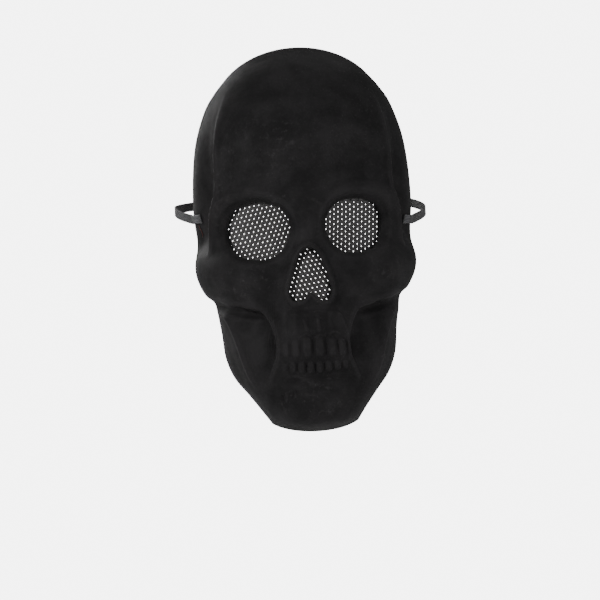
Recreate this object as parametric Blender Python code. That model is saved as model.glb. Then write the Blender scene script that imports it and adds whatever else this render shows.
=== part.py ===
"""A skull mask as worn on the face, in metres, Z up, the face looking towards -Y.

The origin is the seat: the inside of the mask at the brow, on the line through the
middles of the eye holes. X runs to the right of someone who looks at the mask.
"""

import math
from collections import namedtuple

import bmesh
import bpy
import numpy as np
from mathutils import Vector

# The mask's own sizes
CROWN_HEIGHT = 0.1215
CHIN_DROP = 0.1313
TEMPLE_HALF_WIDTH = 0.0725
CHEEK_HALF_WIDTH = 0.0730
JAW_HALF_WIDTH = 0.0578
RIM_DEPTH = 0.0600
WALL = 0.0022
INNER_REACH = 0.0050

# Eye and nose holes
BRIDGE_WIDTH = 0.0240
EYE_HALF_WIDTH = 0.0205
EYE_HALF_HEIGHT = 0.0180
SOCKET_DEPTH = 0.0045
SOCKET_REACH = 0.0090
NOSE_TOP_DROP = 0.0132
NOSE_HEIGHT = 0.0340
NOSE_HALF_WIDTH = 0.0137
NOSE_LIP_RISE = 0.0020
NOSE_LIP_WIDTH = 0.0042
NOSE_BONE_RISE = 0.0030

# Bone forms: how far each stands out of the face or sinks into it, and how wide it is
BROW_RISE = 0.0022
BROW_WIDTH = 0.0080
CHEEKBONE_RISE = 0.0034
CHEEK_EDGE_RISE = 0.0014
CHEEK_EDGE_GROOVE = 0.0042
CHEEK_EDGE_WIDTH = 0.0085
TEMPLE_RIDGE_RISE = 0.0010
TEMPLE_HOLLOW = 0.0042
TEMPLE_RIDGE_WIDTH = 0.0060
JAW_HOLLOW = 0.0062
JAW_HOLLOW_EDGE = 0.0040
JAW_RIDGE_RISE = 0.0018
JAW_RIDGE_WIDTH = 0.0075
CHIN_RISE = 0.0026

# Teeth
BITE_DROP = 0.0835
TOOTH_ROW_HALF_WIDTH = 0.0205
UPPER_TOOTH_HEIGHT = 0.0125
LOWER_TOOTH_HEIGHT = 0.0090
TOOTH_RISE = 0.0012
TOOTH_GAP_DEPTH = 0.0010
TOOTH_GAP_WIDTH = 0.0017
ROOT_LENGTH = 0.0170
ROOT_RISE = 0.0008

# Net panels behind the holes
NET_THICKNESS = 0.0008
NET_MARGIN = 0.0045
NET_GAP_WIDTH = 0.0040
NET_PITCH_ACROSS = 0.0058
NET_PITCH_DOWN = 0.0052
NET_CLEARANCE = 0.00035

# Elastic strap
STRAP_WIDTH = 0.0060
STRAP_THICKNESS = 0.0010
STRAP_CLEARANCE = 0.0003
STRAP_LAP_LENGTH = 0.0180
STRAP_LEFT_HEIGHT = 0.0110
STRAP_RIGHT_HEIGHT = 0.0040
STRAP_EAR_RISE = 0.0055
STRAP_BACK_HEIGHT = 0.0260
HEAD_HALF_WIDTH = 0.0830
HEAD_BACK = 0.1900
EAR_BACK = 0.1000

# Near the rim the relief fades out over this share of the way round, and over this many
# sections at the chin and the crown, so that the rim keeps its outline
RIM_FADE = 0.12
END_FADE = 1.0

# Mesh fineness of the mask, and the step that its slopes are measured over
COLUMNS = 21
CENTRE_FINENESS = 0.45
SMALL_STEP = 0.01

# The sections that the mask is lofted through, from the chin up to the crown. Each runs
# from the middle of the face round to the rim as part of an ellipse that turns by "turn"
# degrees. The jaw's heights are shares of CHIN_DROP and its widths of JAW_HALF_WIDTH,
# the cheek's of CHIN_DROP and CHEEK_HALF_WIDTH, and the head's of CROWN_HEIGHT and
# TEMPLE_HALF_WIDTH. All depths are shares of RIM_DEPTH. "rows" is how many rows of the
# mesh lie between this section and the next, always an even number.
Section = namedtuple("Section", "rim_up rim_out rim_back mid_up mid_back turn rows")
JAW_SECTIONS = (
    Section(-0.956, 0.485, 0.33, -1.000, 0.10, 60, 2),
    Section(-0.893, 0.590, 0.46, -0.950, -0.14, 76, 4),
    Section(-0.806, 0.735, 0.57, -0.858, -0.22, 86, 4),
    Section(-0.723, 0.880, 0.66, -0.754, -0.19, 90, 6),
    Section(-0.624, 0.968, 0.73, -0.640, -0.24, 90, 6),
    Section(-0.502, 1.000, 0.77, -0.502, -0.21, 90, 4),
    Section(-0.396, 1.036, 0.79, -0.396, -0.19, 90, 2),
    Section(-0.342, 1.066, 0.80, -0.342, -0.18, 90, 2),
)
CHEEK_SECTIONS = (
    Section(-0.303, 0.918, 0.82, -0.303, -0.17, 90, 4),
    Section(-0.236, 0.977, 0.87, -0.236, -0.15, 90, 4),
    Section(-0.152, 1.000, 0.91, -0.152, -0.11, 90, 4),
)
HEAD_SECTIONS = (
    Section(-0.041, 0.976, 0.95, -0.041, -0.05, 90, 6),
    Section(0.123, 0.999, 1.00, 0.112, -0.08, 90, 4),
    Section(0.330, 0.987, 1.01, 0.310, -0.08, 90, 2),
    Section(0.510, 0.945, 1.00, 0.520, -0.02, 88, 4),
    Section(0.675, 0.852, 0.97, 0.725, 0.17, 82, 2),
    Section(0.765, 0.759, 0.95, 0.875, 0.45, 74, 2),
    Section(0.823, 0.676, 0.93, 1.000, 0.90, 60, 0),
)

# Fullness of an eye hole's four corners: 2 is an ellipse, more is squarer. "centre_out"
# and "wide" are shares of EYE_HALF_WIDTH, the first of them added to half of the
# BRIDGE_WIDTH, and "centre_up" and "high" are shares of EYE_HALF_HEIGHT.
Eye = namedtuple(
    "Eye", "side centre_out centre_up wide high upper_out upper_in lower_in lower_out"
)
EYES = (
    Eye(-1, 1.015, 0.01, 1.045, 1.030, 2.40, 2.05, 2.00, 2.00),
    Eye(1, 0.975, 0.04, 0.945, 0.955, 3.10, 2.10, 2.10, 2.25),
)
EYE_POINTS = 36

# The ridge over the right eye, from the middle of the brow outwards. "out" is a share of
# EYE_HALF_WIDTH from the middle of the eye, and "up" of EYE_HALF_HEIGHT.
BrowPoint = namedtuple("BrowPoint", "out up")
BROW_LINE = (
    BrowPoint(-1.35, 0.72),
    BrowPoint(-0.70, 1.15),
    BrowPoint(0.15, 1.40),
    BrowPoint(0.90, 1.20),
    BrowPoint(1.28, 0.60),
    BrowPoint(1.36, -0.20),
)

# Half of the nose hole, an upside-down heart: shares of NOSE_HALF_WIDTH and NOSE_HEIGHT
HeartPoint = namedtuple("HeartPoint", "out down")
NOSE_OUTLINE = (
    HeartPoint(0.00, 0.00),
    HeartPoint(0.33, 0.05),
    HeartPoint(0.60, 0.24),
    HeartPoint(0.80, 0.47),
    HeartPoint(0.97, 0.70),
    HeartPoint(1.00, 0.85),
    HeartPoint(0.80, 0.98),
    HeartPoint(0.45, 0.97),
    HeartPoint(0.17, 0.89),
    HeartPoint(0.00, 0.81),
)
OUTLINE_FINENESS = 3
NOSE_PANEL_TAPER = 0.28

# Lines on the right half of the face. "out" is a share of TEMPLE_HALF_WIDTH, and "up" a
# share of CROWN_HEIGHT above the eyes and of CHIN_DROP below them.
FacePoint = namedtuple("FacePoint", "out up")
TEMPLE_LINE = (
    FacePoint(0.62, 0.80),
    FacePoint(0.73, 0.62),
    FacePoint(0.79, 0.42),
    FacePoint(0.785, 0.27),
    FacePoint(0.81, 0.16),
    FacePoint(0.845, 0.05),
    FacePoint(0.87, -0.05),
    FacePoint(0.885, -0.12),
)
CHEEK_EDGE_LINE = (
    FacePoint(0.40, -0.383),
    FacePoint(0.52, -0.388),
    FacePoint(0.64, -0.375),
    FacePoint(0.75, -0.356),
    FacePoint(0.86, -0.325),
)
UPPER_JAW_LINE = (
    FacePoint(0.58, -0.372),
    FacePoint(0.46, -0.390),
    FacePoint(0.39, -0.430),
    FacePoint(0.345, -0.490),
    FacePoint(0.320, -0.560),
    FacePoint(0.335, -0.640),
    FacePoint(0.40, -0.740),
)
JAW_RIDGE_LINE = (
    FacePoint(0.80, -0.375),
    FacePoint(0.735, -0.420),
    FacePoint(0.68, -0.482),
    FacePoint(0.64, -0.560),
    FacePoint(0.605, -0.635),
    FacePoint(0.565, -0.700),
    FacePoint(0.52, -0.762),
    FacePoint(0.46, -0.845),
)
CHIN_CREASE_LINE = (
    FacePoint(0.0, -0.755),
    FacePoint(0.14, -0.760),
    FacePoint(0.27, -0.790),
)

# How far the relief along each line takes to fade in at its start and out at its end, as
# shares of the line
Fade = namedtuple("Fade", "start end")
BROW_FADE = Fade(0.05, 0.30)
TEMPLE_RIDGE_FADE = Fade(0.20, 0.20)
TEMPLE_HOLLOW_FADE = Fade(0.50, 0.22)
CHEEK_EDGE_FADE = Fade(0.35, 0.25)
JAW_HOLLOW_FADE = Fade(0.20, 0.50)
JAW_RIDGE_FADE = Fade(0.15, 0.30)
CHIN_CREASE_FADE = Fade(0.00, 0.40)

# Rounded forms, each an oval. Places and half sizes are shares as in FacePoint, and
# "rise" is a share of CHEEKBONE_RISE, negative for a hollow.
Mound = namedtuple("Mound", "out up half_out half_up rise")
MOUNDS = (
    Mound(0.60, -0.19, 0.34, 0.145, 1.00),
    Mound(0.86, -0.19, 0.26, 0.120, 0.55),
    Mound(0.00, 0.11, 0.20, 0.11, 0.45),
    Mound(0.42, 0.52, 0.42, 0.24, 0.50),
    Mound(0.00, -0.20, 0.33, 0.22, 0.75),
    Mound(0.30, -0.33, 0.15, 0.10, -0.40),
    Mound(0.00, -0.61, 0.38, 0.20, 0.95),
)
CHIN_MOUNDS = (
    Mound(0.00, -0.88, 0.36, 0.12, 1.00),
    Mound(0.29, -0.925, 0.17, 0.09, 0.55),
)

# Upper and lower teeth of one side: where each ends, as a share of TOOTH_ROW_HALF_WIDTH
UPPER_TOOTH_ENDS = (0.0, 0.37, 0.70, 1.0, 1.27)
LOWER_TOOTH_ENDS = (0.0, 0.26, 0.53, 0.82, 1.12)

# How many pieces the strap's mesh has on the mask, beside the head and round its back
STRAP_LAP_STEPS = 6
STRAP_SIDE_STEPS = 5
STRAP_TURN_STEPS = 18


def clear_scene():
    for thing in list(bpy.data.objects):
        bpy.data.objects.remove(thing)


def make_collection(name):
    collection = bpy.data.collections.new(name)
    bpy.context.scene.collection.children.link(collection)
    return collection


def make_object(name, mesh, collection):
    thing = bpy.data.objects.new(name, mesh)
    collection.objects.link(thing)
    return thing


def make_material(name, colour, roughness):
    material = bpy.data.materials.new(name)
    material.use_nodes = True
    shader = material.node_tree.nodes["Principled BSDF"]
    shader.inputs["Base Color"].default_value = (*colour, 1.0)
    shader.inputs["Roughness"].default_value = roughness
    shader.inputs["Metallic"].default_value = 0.0
    material.diffuse_color = (*colour, 1.0)
    return material


def hill(share):
    """1 where share is 0, falling smoothly to 0 where it reaches 1 either way."""
    return np.clip(1 - share * share, 0, None) ** 2


def ramp(share):
    """0 below 0, 1 above 1, and a smooth rise between."""
    held = np.clip(share, 0, 1)
    return held * held * (3 - 2 * held)


def spline(before, start, end, after, part):
    """A smooth curve's value at part of the way from start to end."""
    return 0.5 * (
        2 * start
        + (end - before) * part
        + (2 * before - 5 * start + 4 * end - after) * part**2
        + (3 * start - before - 3 * end + after) * part**3
    )


def read_smoothly(values, place):
    """The value at a place between the rows of a column of values."""
    values = np.asarray(values)
    last = len(values) - 1
    start = np.clip(np.floor(place).astype(int), 0, last - 1)
    before = values[np.maximum(start - 1, 0)]
    after = values[np.minimum(start + 2, last)]
    return spline(before, values[start], values[start + 1], after, place - start)


def refine(points, pieces):
    """The points of a smooth line through the given ones."""
    points = np.asarray(points, float)
    places = np.linspace(0, len(points) - 1, (len(points) - 1) * pieces + 1)
    return np.column_stack([read_smoothly(points[:, axis], places) for axis in (0, 1)])


def height_on_face(up):
    return up * (CROWN_HEIGHT if up > 0 else CHIN_DROP)


def face_line(line):
    points = [(point.out * TEMPLE_HALF_WIDTH, height_on_face(point.up)) for point in line]
    return refine(points, OUTLINE_FINENESS)


def fade_ends(passed, fade):
    """1 along a line, falling to 0 at its two ends."""
    return ramp(passed / fade.start) * ramp((1 - passed) / fade.end)


def measure_from(line, x, z):
    """Distance from an open line, how much of the line is passed there, and which side
    of it the place lies on: 1 to the left of someone who walks along it, -1 to the right."""
    nearest = np.full(np.shape(x), np.inf)
    passed = np.zeros(np.shape(x))
    side = np.zeros(np.shape(x))
    for index, (start, end) in enumerate(zip(line[:-1], line[1:])):
        run = end - start
        length = run @ run
        part = np.clip(((x - start[0]) * run[0] + (z - start[1]) * run[1]) / length, 0, 1)
        off_x = x - start[0] - part * run[0]
        off_z = z - start[1] - part * run[1]
        distance = np.hypot(off_x, off_z)
        closer = distance < nearest
        nearest = np.where(closer, distance, nearest)
        passed = np.where(closer, (index + part) / (len(line) - 1), passed)
        side = np.where(closer, np.sign(run[0] * off_z - run[1] * off_x), side)
    return nearest, passed, side


def signed_distance(line, x, z):
    """Distance from an open line, positive to its left, and how much of it is passed."""
    distance, passed, side = measure_from(line, x, z)
    return np.where(side > 0, distance, -distance), passed


def all_sections():
    """The loft's sections in metres, with the turn in radians, as one array a column."""
    rows = []
    for table, out, height in (
        (JAW_SECTIONS, JAW_HALF_WIDTH, CHIN_DROP),
        (CHEEK_SECTIONS, CHEEK_HALF_WIDTH, CHIN_DROP),
        (HEAD_SECTIONS, TEMPLE_HALF_WIDTH, None),
    ):
        for section in table:
            rows.append(
                Section(
                    section.rim_up * height if height else height_on_face(section.rim_up),
                    section.rim_out * out,
                    section.rim_back * RIM_DEPTH,
                    section.mid_up * height if height else height_on_face(section.mid_up),
                    section.mid_back * RIM_DEPTH,
                    math.radians(section.turn),
                    section.rows,
                )
            )
    return Section(*(np.array(column, float) for column in zip(*rows)))


def smooth_face(place, share):
    """Points of the face without its bones, at a place along the sections and a share
    of the way from the middle (0) to the right (1) or left (-1) rim."""
    sections = all_sections()
    rim_up, rim_out, rim_back, mid_up, mid_back, turn = (
        read_smoothly(column, place) for column in sections[:6]
    )
    angle = turn * share
    lift = (1 - np.cos(angle)) / (1 - np.cos(turn))
    x = rim_out * np.sin(angle) / np.sin(turn)
    y = mid_back + (rim_back - mid_back) * lift
    z = mid_up + (rim_up - mid_up) * lift
    return np.stack([x, y, z], axis=-1)


def outward(place, share):
    """The direction that points straight out of the smooth face."""
    last = len(all_sections().turn) - 1
    held_place = np.clip(place, RIM_FADE, last - RIM_FADE)
    held_share = np.clip(share, SMALL_STEP - 1, 1 - SMALL_STEP)
    low = held_place - SMALL_STEP
    high = held_place + SMALL_STEP
    along_up = smooth_face(high, held_share) - smooth_face(low, held_share)
    right = smooth_face(held_place, held_share + SMALL_STEP)
    across = right - smooth_face(held_place, held_share - SMALL_STEP)
    direction = np.cross(across, along_up)
    return direction / np.linalg.norm(direction, axis=-1, keepdims=True)


def eye_centre(eye):
    out = BRIDGE_WIDTH / 2 + eye.centre_out * EYE_HALF_WIDTH
    return eye.side * out, eye.centre_up * EYE_HALF_HEIGHT


def eye_radius(eye, angle, margin=0.0):
    """How far an eye hole's edge is from its centre, where angle 0 points outwards from
    the face's middle and a quarter turn points up."""
    wide = eye.wide * EYE_HALF_WIDTH + margin
    high = eye.high * EYE_HALF_HEIGHT + margin
    out = np.cos(angle)
    up = np.sin(angle)
    fullness = np.where(
        up > 0,
        np.where(out > 0, eye.upper_out, eye.upper_in),
        np.where(out > 0, eye.lower_out, eye.lower_in),
    )
    return (np.abs(out / wide) ** fullness + np.abs(up / high) ** fullness) ** (-1 / fullness)


def eye_outline(eye, margin=0.0):
    centre_x, centre_z = eye_centre(eye)
    angle = np.arange(EYE_POINTS) * math.tau / EYE_POINTS
    radius = eye_radius(eye, angle, margin)
    across = centre_x + eye.side * radius * np.cos(angle)
    return np.column_stack([across, centre_z + radius * np.sin(angle)])


def nose_outline(margin=0.0):
    """The nose hole's edge, or a line that runs the margin outside it."""
    shares = np.array(NOSE_OUTLINE)
    half = shares * (NOSE_HALF_WIDTH, -NOSE_HEIGHT) - (0, NOSE_TOP_DROP)
    right = refine(half, OUTLINE_FINENESS)
    left = right[-2:0:-1] * (-1, 1)
    outline = np.vstack([right, left])
    run = np.roll(outline, -1, axis=0) - np.roll(outline, 1, axis=0)
    away = np.column_stack([-run[:, 1], run[:, 0]])
    away /= np.linalg.norm(away, axis=1, keepdims=True)
    return outline + away * margin


def nose_panel_outline():
    """An egg, its narrow end up, round the nose hole, for the net behind it."""
    centre_z = -NOSE_TOP_DROP - NOSE_HEIGHT / 2
    angle = np.arange(EYE_POINTS) * math.tau / EYE_POINTS
    taper = 1 - NOSE_PANEL_TAPER * np.sin(angle)
    across = (NOSE_HALF_WIDTH + NET_MARGIN) * np.cos(angle) * taper
    up = (NOSE_HEIGHT / 2 + NET_MARGIN) * np.sin(angle)
    return np.column_stack([across, centre_z + up])


def sockets(x, z):
    """The hollow that each eye hole lies in, deepest and steepest towards the brow."""
    upwards = math.radians(75)
    spread = math.radians(110)
    depth = np.zeros(np.shape(x))
    for eye in EYES:
        centre_x, centre_z = eye_centre(eye)
        out = (x - centre_x) * eye.side
        up = z - centre_z
        angle = np.arctan2(up, out)
        beyond = np.hypot(out, up) - eye_radius(eye, angle)
        towards_brow = hill((angle - upwards) / spread)
        reach = SOCKET_REACH * (1 - 0.25 * towards_brow)
        sunk = SOCKET_DEPTH * (0.80 + 0.20 * towards_brow)
        depth += sunk * (1 - ramp(beyond / reach))
    return -depth


def brow(x, z):
    """The ridge over each eye, from the middle of the brow to the outer corner."""
    eye_x = BRIDGE_WIDTH / 2 + EYE_HALF_WIDTH
    points = np.array(BROW_LINE) * (EYE_HALF_WIDTH, EYE_HALF_HEIGHT) + (eye_x, 0)
    distance, passed, _ = measure_from(refine(points, OUTLINE_FINENESS), np.abs(x), z)
    return BROW_RISE * hill(distance / BROW_WIDTH) * fade_ends(passed, BROW_FADE)


def nose_bone(x, z):
    """The bridge between the eyes, which runs down to the top of the nose hole."""
    half_width = 0.62 * NOSE_HALF_WIDTH
    half_length = NOSE_TOP_DROP + 0.35 * NOSE_HEIGHT
    middle = -0.9 * NOSE_TOP_DROP
    return NOSE_BONE_RISE * hill(x / half_width) * hill((z - middle) / half_length)


def nose_lip(x, z):
    """The raised edge round the nose hole."""
    outline = nose_outline()
    outside, _ = signed_distance(np.vstack([outline, outline[:1]]), x, z)
    crest = 0.35 * NOSE_LIP_WIDTH
    return NOSE_LIP_RISE * hill((outside - crest) / NOSE_LIP_WIDTH)


def mounds(table, rise, x, z):
    total = np.zeros(np.shape(x))
    for mound in table:
        out = (np.abs(x) / TEMPLE_HALF_WIDTH - mound.out) / mound.half_out
        half_up = abs(height_on_face(math.copysign(mound.half_up, mound.up)))
        up = (z - height_on_face(mound.up)) / half_up
        total += mound.rise * rise * hill(np.hypot(out, up))
    return total


def cheek_edge(x, z):
    """The cheekbone's lower edge, with the groove right under it."""
    above, passed = signed_distance(face_line(CHEEK_EDGE_LINE), np.abs(x), z)
    widths = above / CHEEK_EDGE_WIDTH
    edge = CHEEK_EDGE_RISE * hill((widths - 0.35) / 0.7)
    groove = CHEEK_EDGE_GROOVE * hill((widths + 0.5) / 0.8)
    return (edge - groove) * fade_ends(passed, CHEEK_EDGE_FADE)


def temple(x, z):
    """The ridge at each temple, with the long hollow behind it."""
    behind, passed = signed_distance(face_line(TEMPLE_LINE), np.abs(x), z)
    widths = behind / TEMPLE_RIDGE_WIDTH
    ridge = TEMPLE_RIDGE_RISE * hill(widths) * fade_ends(passed, TEMPLE_RIDGE_FADE)
    front_wall = ramp(widths / 0.6)
    back_slope = 1 - ramp((widths - 0.8) / 1.6)
    hollow = TEMPLE_HOLLOW * front_wall * back_slope * fade_ends(passed, TEMPLE_HOLLOW_FADE)
    return ridge - hollow


def jaw_hollow(x, z):
    """The hollow between the upper jaw and the jaw's ridge, with its steep front wall."""
    front, _ = signed_distance(face_line(UPPER_JAW_LINE), np.abs(x), z)
    before_ridge, passed = signed_distance(face_line(JAW_RIDGE_LINE), np.abs(x), z)
    inside = (front > 0) & (before_ridge < 0)
    breadth = np.maximum(front - before_ridge, JAW_HOLLOW_EDGE)
    wall = ramp(front / JAW_HOLLOW_EDGE)
    slope = 1 - ramp(front / breadth)
    hollow = JAW_HOLLOW * wall * slope * fade_ends(passed, JAW_HOLLOW_FADE)
    return np.where(inside, -hollow, 0.0)


def jaw_ridge(x, z):
    distance, passed, _ = measure_from(face_line(JAW_RIDGE_LINE), np.abs(x), z)
    crest = JAW_RIDGE_RISE * hill(distance / JAW_RIDGE_WIDTH)
    return crest * fade_ends(passed, JAW_RIDGE_FADE)


def chin_crease(x, z):
    distance, passed, _ = measure_from(face_line(CHIN_CREASE_LINE), np.abs(x), z)
    depth = 0.5 * CHIN_RISE * hill(distance / JAW_RIDGE_WIDTH)
    return -depth * ramp((1 - passed) / CHIN_CREASE_FADE.end)


def teeth(x, z):
    """Two rows of teeth with gaps between them, and the bulges of their roots."""
    out = np.abs(x)
    total = np.zeros(np.shape(x))
    for ends, height, way in (
        (UPPER_TOOTH_ENDS, UPPER_TOOTH_HEIGHT, 1),
        (LOWER_TOOTH_ENDS, LOWER_TOOTH_HEIGHT, -1),
    ):
        places = np.array(ends) * TOOTH_ROW_HALF_WIDTH
        rise = (z + BITE_DROP) * way
        crown_window = ramp(rise / (0.15 * height)) * ramp((1.1 * height - rise) / (0.25 * height))
        root_window = hill((rise - 1.1 * height - ROOT_LENGTH / 3) / (0.8 * ROOT_LENGTH))
        row = np.zeros(np.shape(x))
        for start, end in zip(places[:-1], places[1:]):
            across = (2 * out - start - end) / (end - start)
            row += TOOTH_RISE * hill(0.8 * across) * (np.abs(across) < 1) * crown_window
            row += ROOT_RISE * hill(across) * root_window
        for place in places[:-1]:
            row -= TOOTH_GAP_DEPTH * hill((out - place) / TOOTH_GAP_WIDTH) * crown_window
        total += row * ramp((places[-1] - out) / (0.25 * TOOTH_ROW_HALF_WIDTH))
    bite_end = 1.2 * TOOTH_ROW_HALF_WIDTH
    bite = hill((z + BITE_DROP) / TOOTH_GAP_WIDTH) * ramp((bite_end - out) / TOOTH_GAP_WIDTH)
    return total - TOOTH_GAP_DEPTH * bite


def broad_relief(x, z):
    """The bones and hollows that show on both sides of the wall."""
    return (
        sockets(x, z)
        + mounds(MOUNDS, CHEEKBONE_RISE, x, z)
        + mounds(CHIN_MOUNDS, CHIN_RISE, x, z)
        + temple(x, z)
        + jaw_hollow(x, z)
        + cheek_edge(x, z)
    )


def outer_relief(x, z):
    """All the bones, hollows, lips and teeth that show on the outside."""
    face = brow(x, z) + nose_bone(x, z) + nose_lip(x, z)
    jaw = jaw_ridge(x, z) + chin_crease(x, z) + teeth(x, z)
    return broad_relief(x, z) + face + jaw


def inner_relief(x, z):
    """The lowest broad relief within reach, so that the wall never gets thin at a step."""
    lowest = broad_relief(x, z)
    for angle in np.arange(8) * math.tau / 8:
        near_x = x + INNER_REACH * math.cos(angle)
        near_z = z + INNER_REACH * math.sin(angle)
        lowest = np.minimum(lowest, broad_relief(near_x, near_z))
    return lowest


def raised_face(place, share, relief, depth):
    """Points of the face with its relief added, sunk by the depth. The relief fades out
    towards the rim."""
    base = smooth_face(place, share)
    last = len(all_sections().turn) - 1
    from_sides = (1 - np.abs(share)) / RIM_FADE
    from_ends = np.minimum(place, last - place) / END_FADE
    height = relief(base[..., 0], base[..., 2]) * ramp(from_sides) * ramp(from_ends)
    return base + outward(place, share) * (height - depth)[..., None]


def mesh_places(step):
    """The places and shares of the mesh's rows and columns, taking every step-th one."""
    rows = all_sections().rows.astype(int)
    places = [index + part / count for index, count in enumerate(rows[:-1]) for part in range(count)]
    places.append(len(rows) - 1)
    even = np.arange(-COLUMNS, COLUMNS + 1) / COLUMNS
    shares = CENTRE_FINENESS * even + (1 - CENTRE_FINENESS) * even**3
    return np.meshgrid(np.array(places)[::step], shares[::step], indexing="ij")


def face_surface(step, relief, depth):
    """A grid of points on the face, its relief added and then sunk by the depth."""
    return raised_face(*mesh_places(step), relief, depth)


def add_grid(shape, points, facing_out):
    """Adds a plain grid and moves its points to the given ones."""
    rows, columns = points.shape[:2]
    made = bmesh.ops.create_grid(shape, x_segments=columns - 1, y_segments=rows - 1, size=1.0)
    corners = sorted(made["verts"], key=lambda corner: (round(corner.co.y, 5), corner.co.x))
    for corner, point in zip(corners, points.reshape(-1, 3)):
        corner.co = Vector(point)
    faces = list({face for corner in corners for face in corner.link_faces})
    faces = bmesh.ops.triangulate(shape, faces=faces, quad_method="FIXED")["faces"]
    if not facing_out:
        bmesh.ops.reverse_faces(shape, faces=faces)
    return [corners[row * columns : (row + 1) * columns] for row in range(rows)]


def edge_of(grid):
    """The corners round a grid, in order, starting at the first one."""
    bottom = grid[0]
    right = [row[-1] for row in grid[1:]]
    top = grid[-1][-2::-1]
    left = [row[0] for row in grid[-2:0:-1]]
    return bottom + right + top + left


def build_shell_mesh():
    """The mask's wall: a fine outer face, a coarser inner one, and the rim between."""
    shape = bmesh.new()
    outer = add_grid(shape, face_surface(1, outer_relief, 0.0), True)
    inner = add_grid(shape, face_surface(2, inner_relief, WALL), False)
    outer_edge = edge_of(outer)
    inner_edge = edge_of(inner)
    for index, corner in enumerate(inner_edge):
        following = inner_edge[(index + 1) % len(inner_edge)]
        start, middle, end = (outer_edge[(2 * index + step) % len(outer_edge)] for step in range(3))
        shape.faces.new((start, corner, following, end, middle))
    bmesh.ops.recalc_face_normals(shape, faces=shape.faces)
    mesh = bpy.data.meshes.new("mask_shell")
    shape.to_mesh(mesh)
    shape.free()
    return mesh


def build_prism(name, outline, front, back, collection):
    """A closed block whose outline is drawn in X and Z and runs from front to back."""
    curve = bpy.data.curves.new(name, "CURVE")
    curve.dimensions = "2D"
    curve.fill_mode = "BOTH"
    curve.extrude = (back - front) / 2
    line = curve.splines.new("POLY")
    line.points.add(len(outline) - 1)
    line.use_cyclic_u = True
    for point, (x, z) in zip(line.points, outline):
        point.co = (x, z, 0.0, 1.0)
    drawn = make_object(name + "_outline", curve, collection)
    drawn.rotation_euler = (math.radians(90), 0, 0)
    drawn.location = (0, (front + back) / 2, 0)
    bpy.context.view_layer.update()
    graph = bpy.context.evaluated_depsgraph_get()
    mesh = bpy.data.meshes.new_from_object(drawn.evaluated_get(graph))
    mesh.transform(drawn.matrix_world)
    bpy.data.objects.remove(drawn)
    weld_mesh(mesh)
    return make_cutter(name, mesh, collection)


def weld_mesh(mesh):
    shape = bmesh.new()
    shape.from_mesh(mesh)
    bmesh.ops.remove_doubles(shape, verts=shape.verts, dist=1e-6)
    bmesh.ops.recalc_face_normals(shape, faces=shape.faces)
    shape.to_mesh(mesh)
    shape.free()


def make_cutter(name, mesh, collection):
    cutter = make_object(name, mesh, collection)
    cutter.hide_render = True
    cutter.display_type = "WIRE"
    return cutter


def cut(thing, cutter, operation="DIFFERENCE"):
    modifier = thing.modifiers.new(cutter.name, "BOOLEAN")
    modifier.operation = operation
    modifier.solver = "EXACT"
    modifier.object = cutter


def inside_outline(outline, x, z):
    """Whether each place lies inside a closed outline."""
    crossings = np.zeros(np.shape(x), int)
    for (start_x, start_z), (end_x, end_z) in zip(outline, np.roll(outline, -1, axis=0)):
        spans = (start_z > z) != (end_z > z)
        slope = (end_x - start_x) / (end_z - start_z) if end_z != start_z else 0.0
        crossings += spans & (x < start_x + slope * (z - start_z))
    return crossings % 2 == 1


def build_net_holes(name, hole_outline, middle, collection):
    """A field of four-sided pegs, staggered from row to row, that pierces a net panel."""
    peg_radius = NET_GAP_WIDTH / 2
    kept = hole_outline + (middle - hole_outline) * (peg_radius / NOSE_HALF_WIDTH)
    shape = bmesh.new()
    count = math.ceil(TEMPLE_HALF_WIDTH / min(NET_PITCH_ACROSS, NET_PITCH_DOWN))
    for row in range(-count, count + 1):
        for column in range(-count, count + 1):
            x = middle[0] + (column + (row % 2) / 2) * NET_PITCH_ACROSS
            z = middle[1] + row * NET_PITCH_DOWN
            if not inside_outline(kept, x, z):
                continue
            made = bmesh.ops.create_cone(
                shape,
                cap_ends=True,
                segments=4,
                radius1=peg_radius,
                radius2=peg_radius,
                depth=2 * RIM_DEPTH,
            )
            for corner in made["verts"]:
                across, up, along = corner.co
                corner.co = (x + up, along, z + across)
    bmesh.ops.recalc_face_normals(shape, faces=shape.faces)
    mesh = bpy.data.meshes.new(name)
    shape.to_mesh(mesh)
    shape.free()
    return make_cutter(name, mesh, collection)


def build_net(name, hole_outline, panel_outline, collections):
    """A net panel that lies on the inside of the wall, behind one hole."""
    parts, cutters = collections
    front = face_surface(2, inner_relief, WALL + NET_CLEARANCE)
    back = face_surface(2, inner_relief, WALL + NET_CLEARANCE + NET_THICKNESS)
    low = panel_outline.min(axis=0)
    high = panel_outline.max(axis=0)
    within = (
        (front[..., 0] > low[0])
        & (front[..., 0] < high[0])
        & (front[..., 2] > low[1])
        & (front[..., 2] < high[1])
    )
    rows = np.flatnonzero(within.any(axis=1))
    columns = np.flatnonzero(within.any(axis=0))
    patch = np.s_[rows[0] - 1 : rows[-1] + 2, columns[0] - 1 : columns[-1] + 2]
    shape = bmesh.new()
    front_edge = edge_of(add_grid(shape, front[patch], True))
    back_edge = edge_of(add_grid(shape, back[patch], False))
    for index, corner in enumerate(front_edge):
        following = (index + 1) % len(front_edge)
        shape.faces.new((corner, back_edge[index], back_edge[following], front_edge[following]))
    bmesh.ops.recalc_face_normals(shape, faces=shape.faces)
    mesh = bpy.data.meshes.new(name)
    shape.to_mesh(mesh)
    shape.free()
    net = make_object(name, mesh, parts)
    middle = (low + high) / 2
    outline = build_prism(name + "_edge", panel_outline, -RIM_DEPTH, RIM_DEPTH, cutters)
    cut(net, outline, "INTERSECT")
    cut(net, build_net_holes(name + "_gaps", hole_outline, middle, cutters))
    return net


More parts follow.
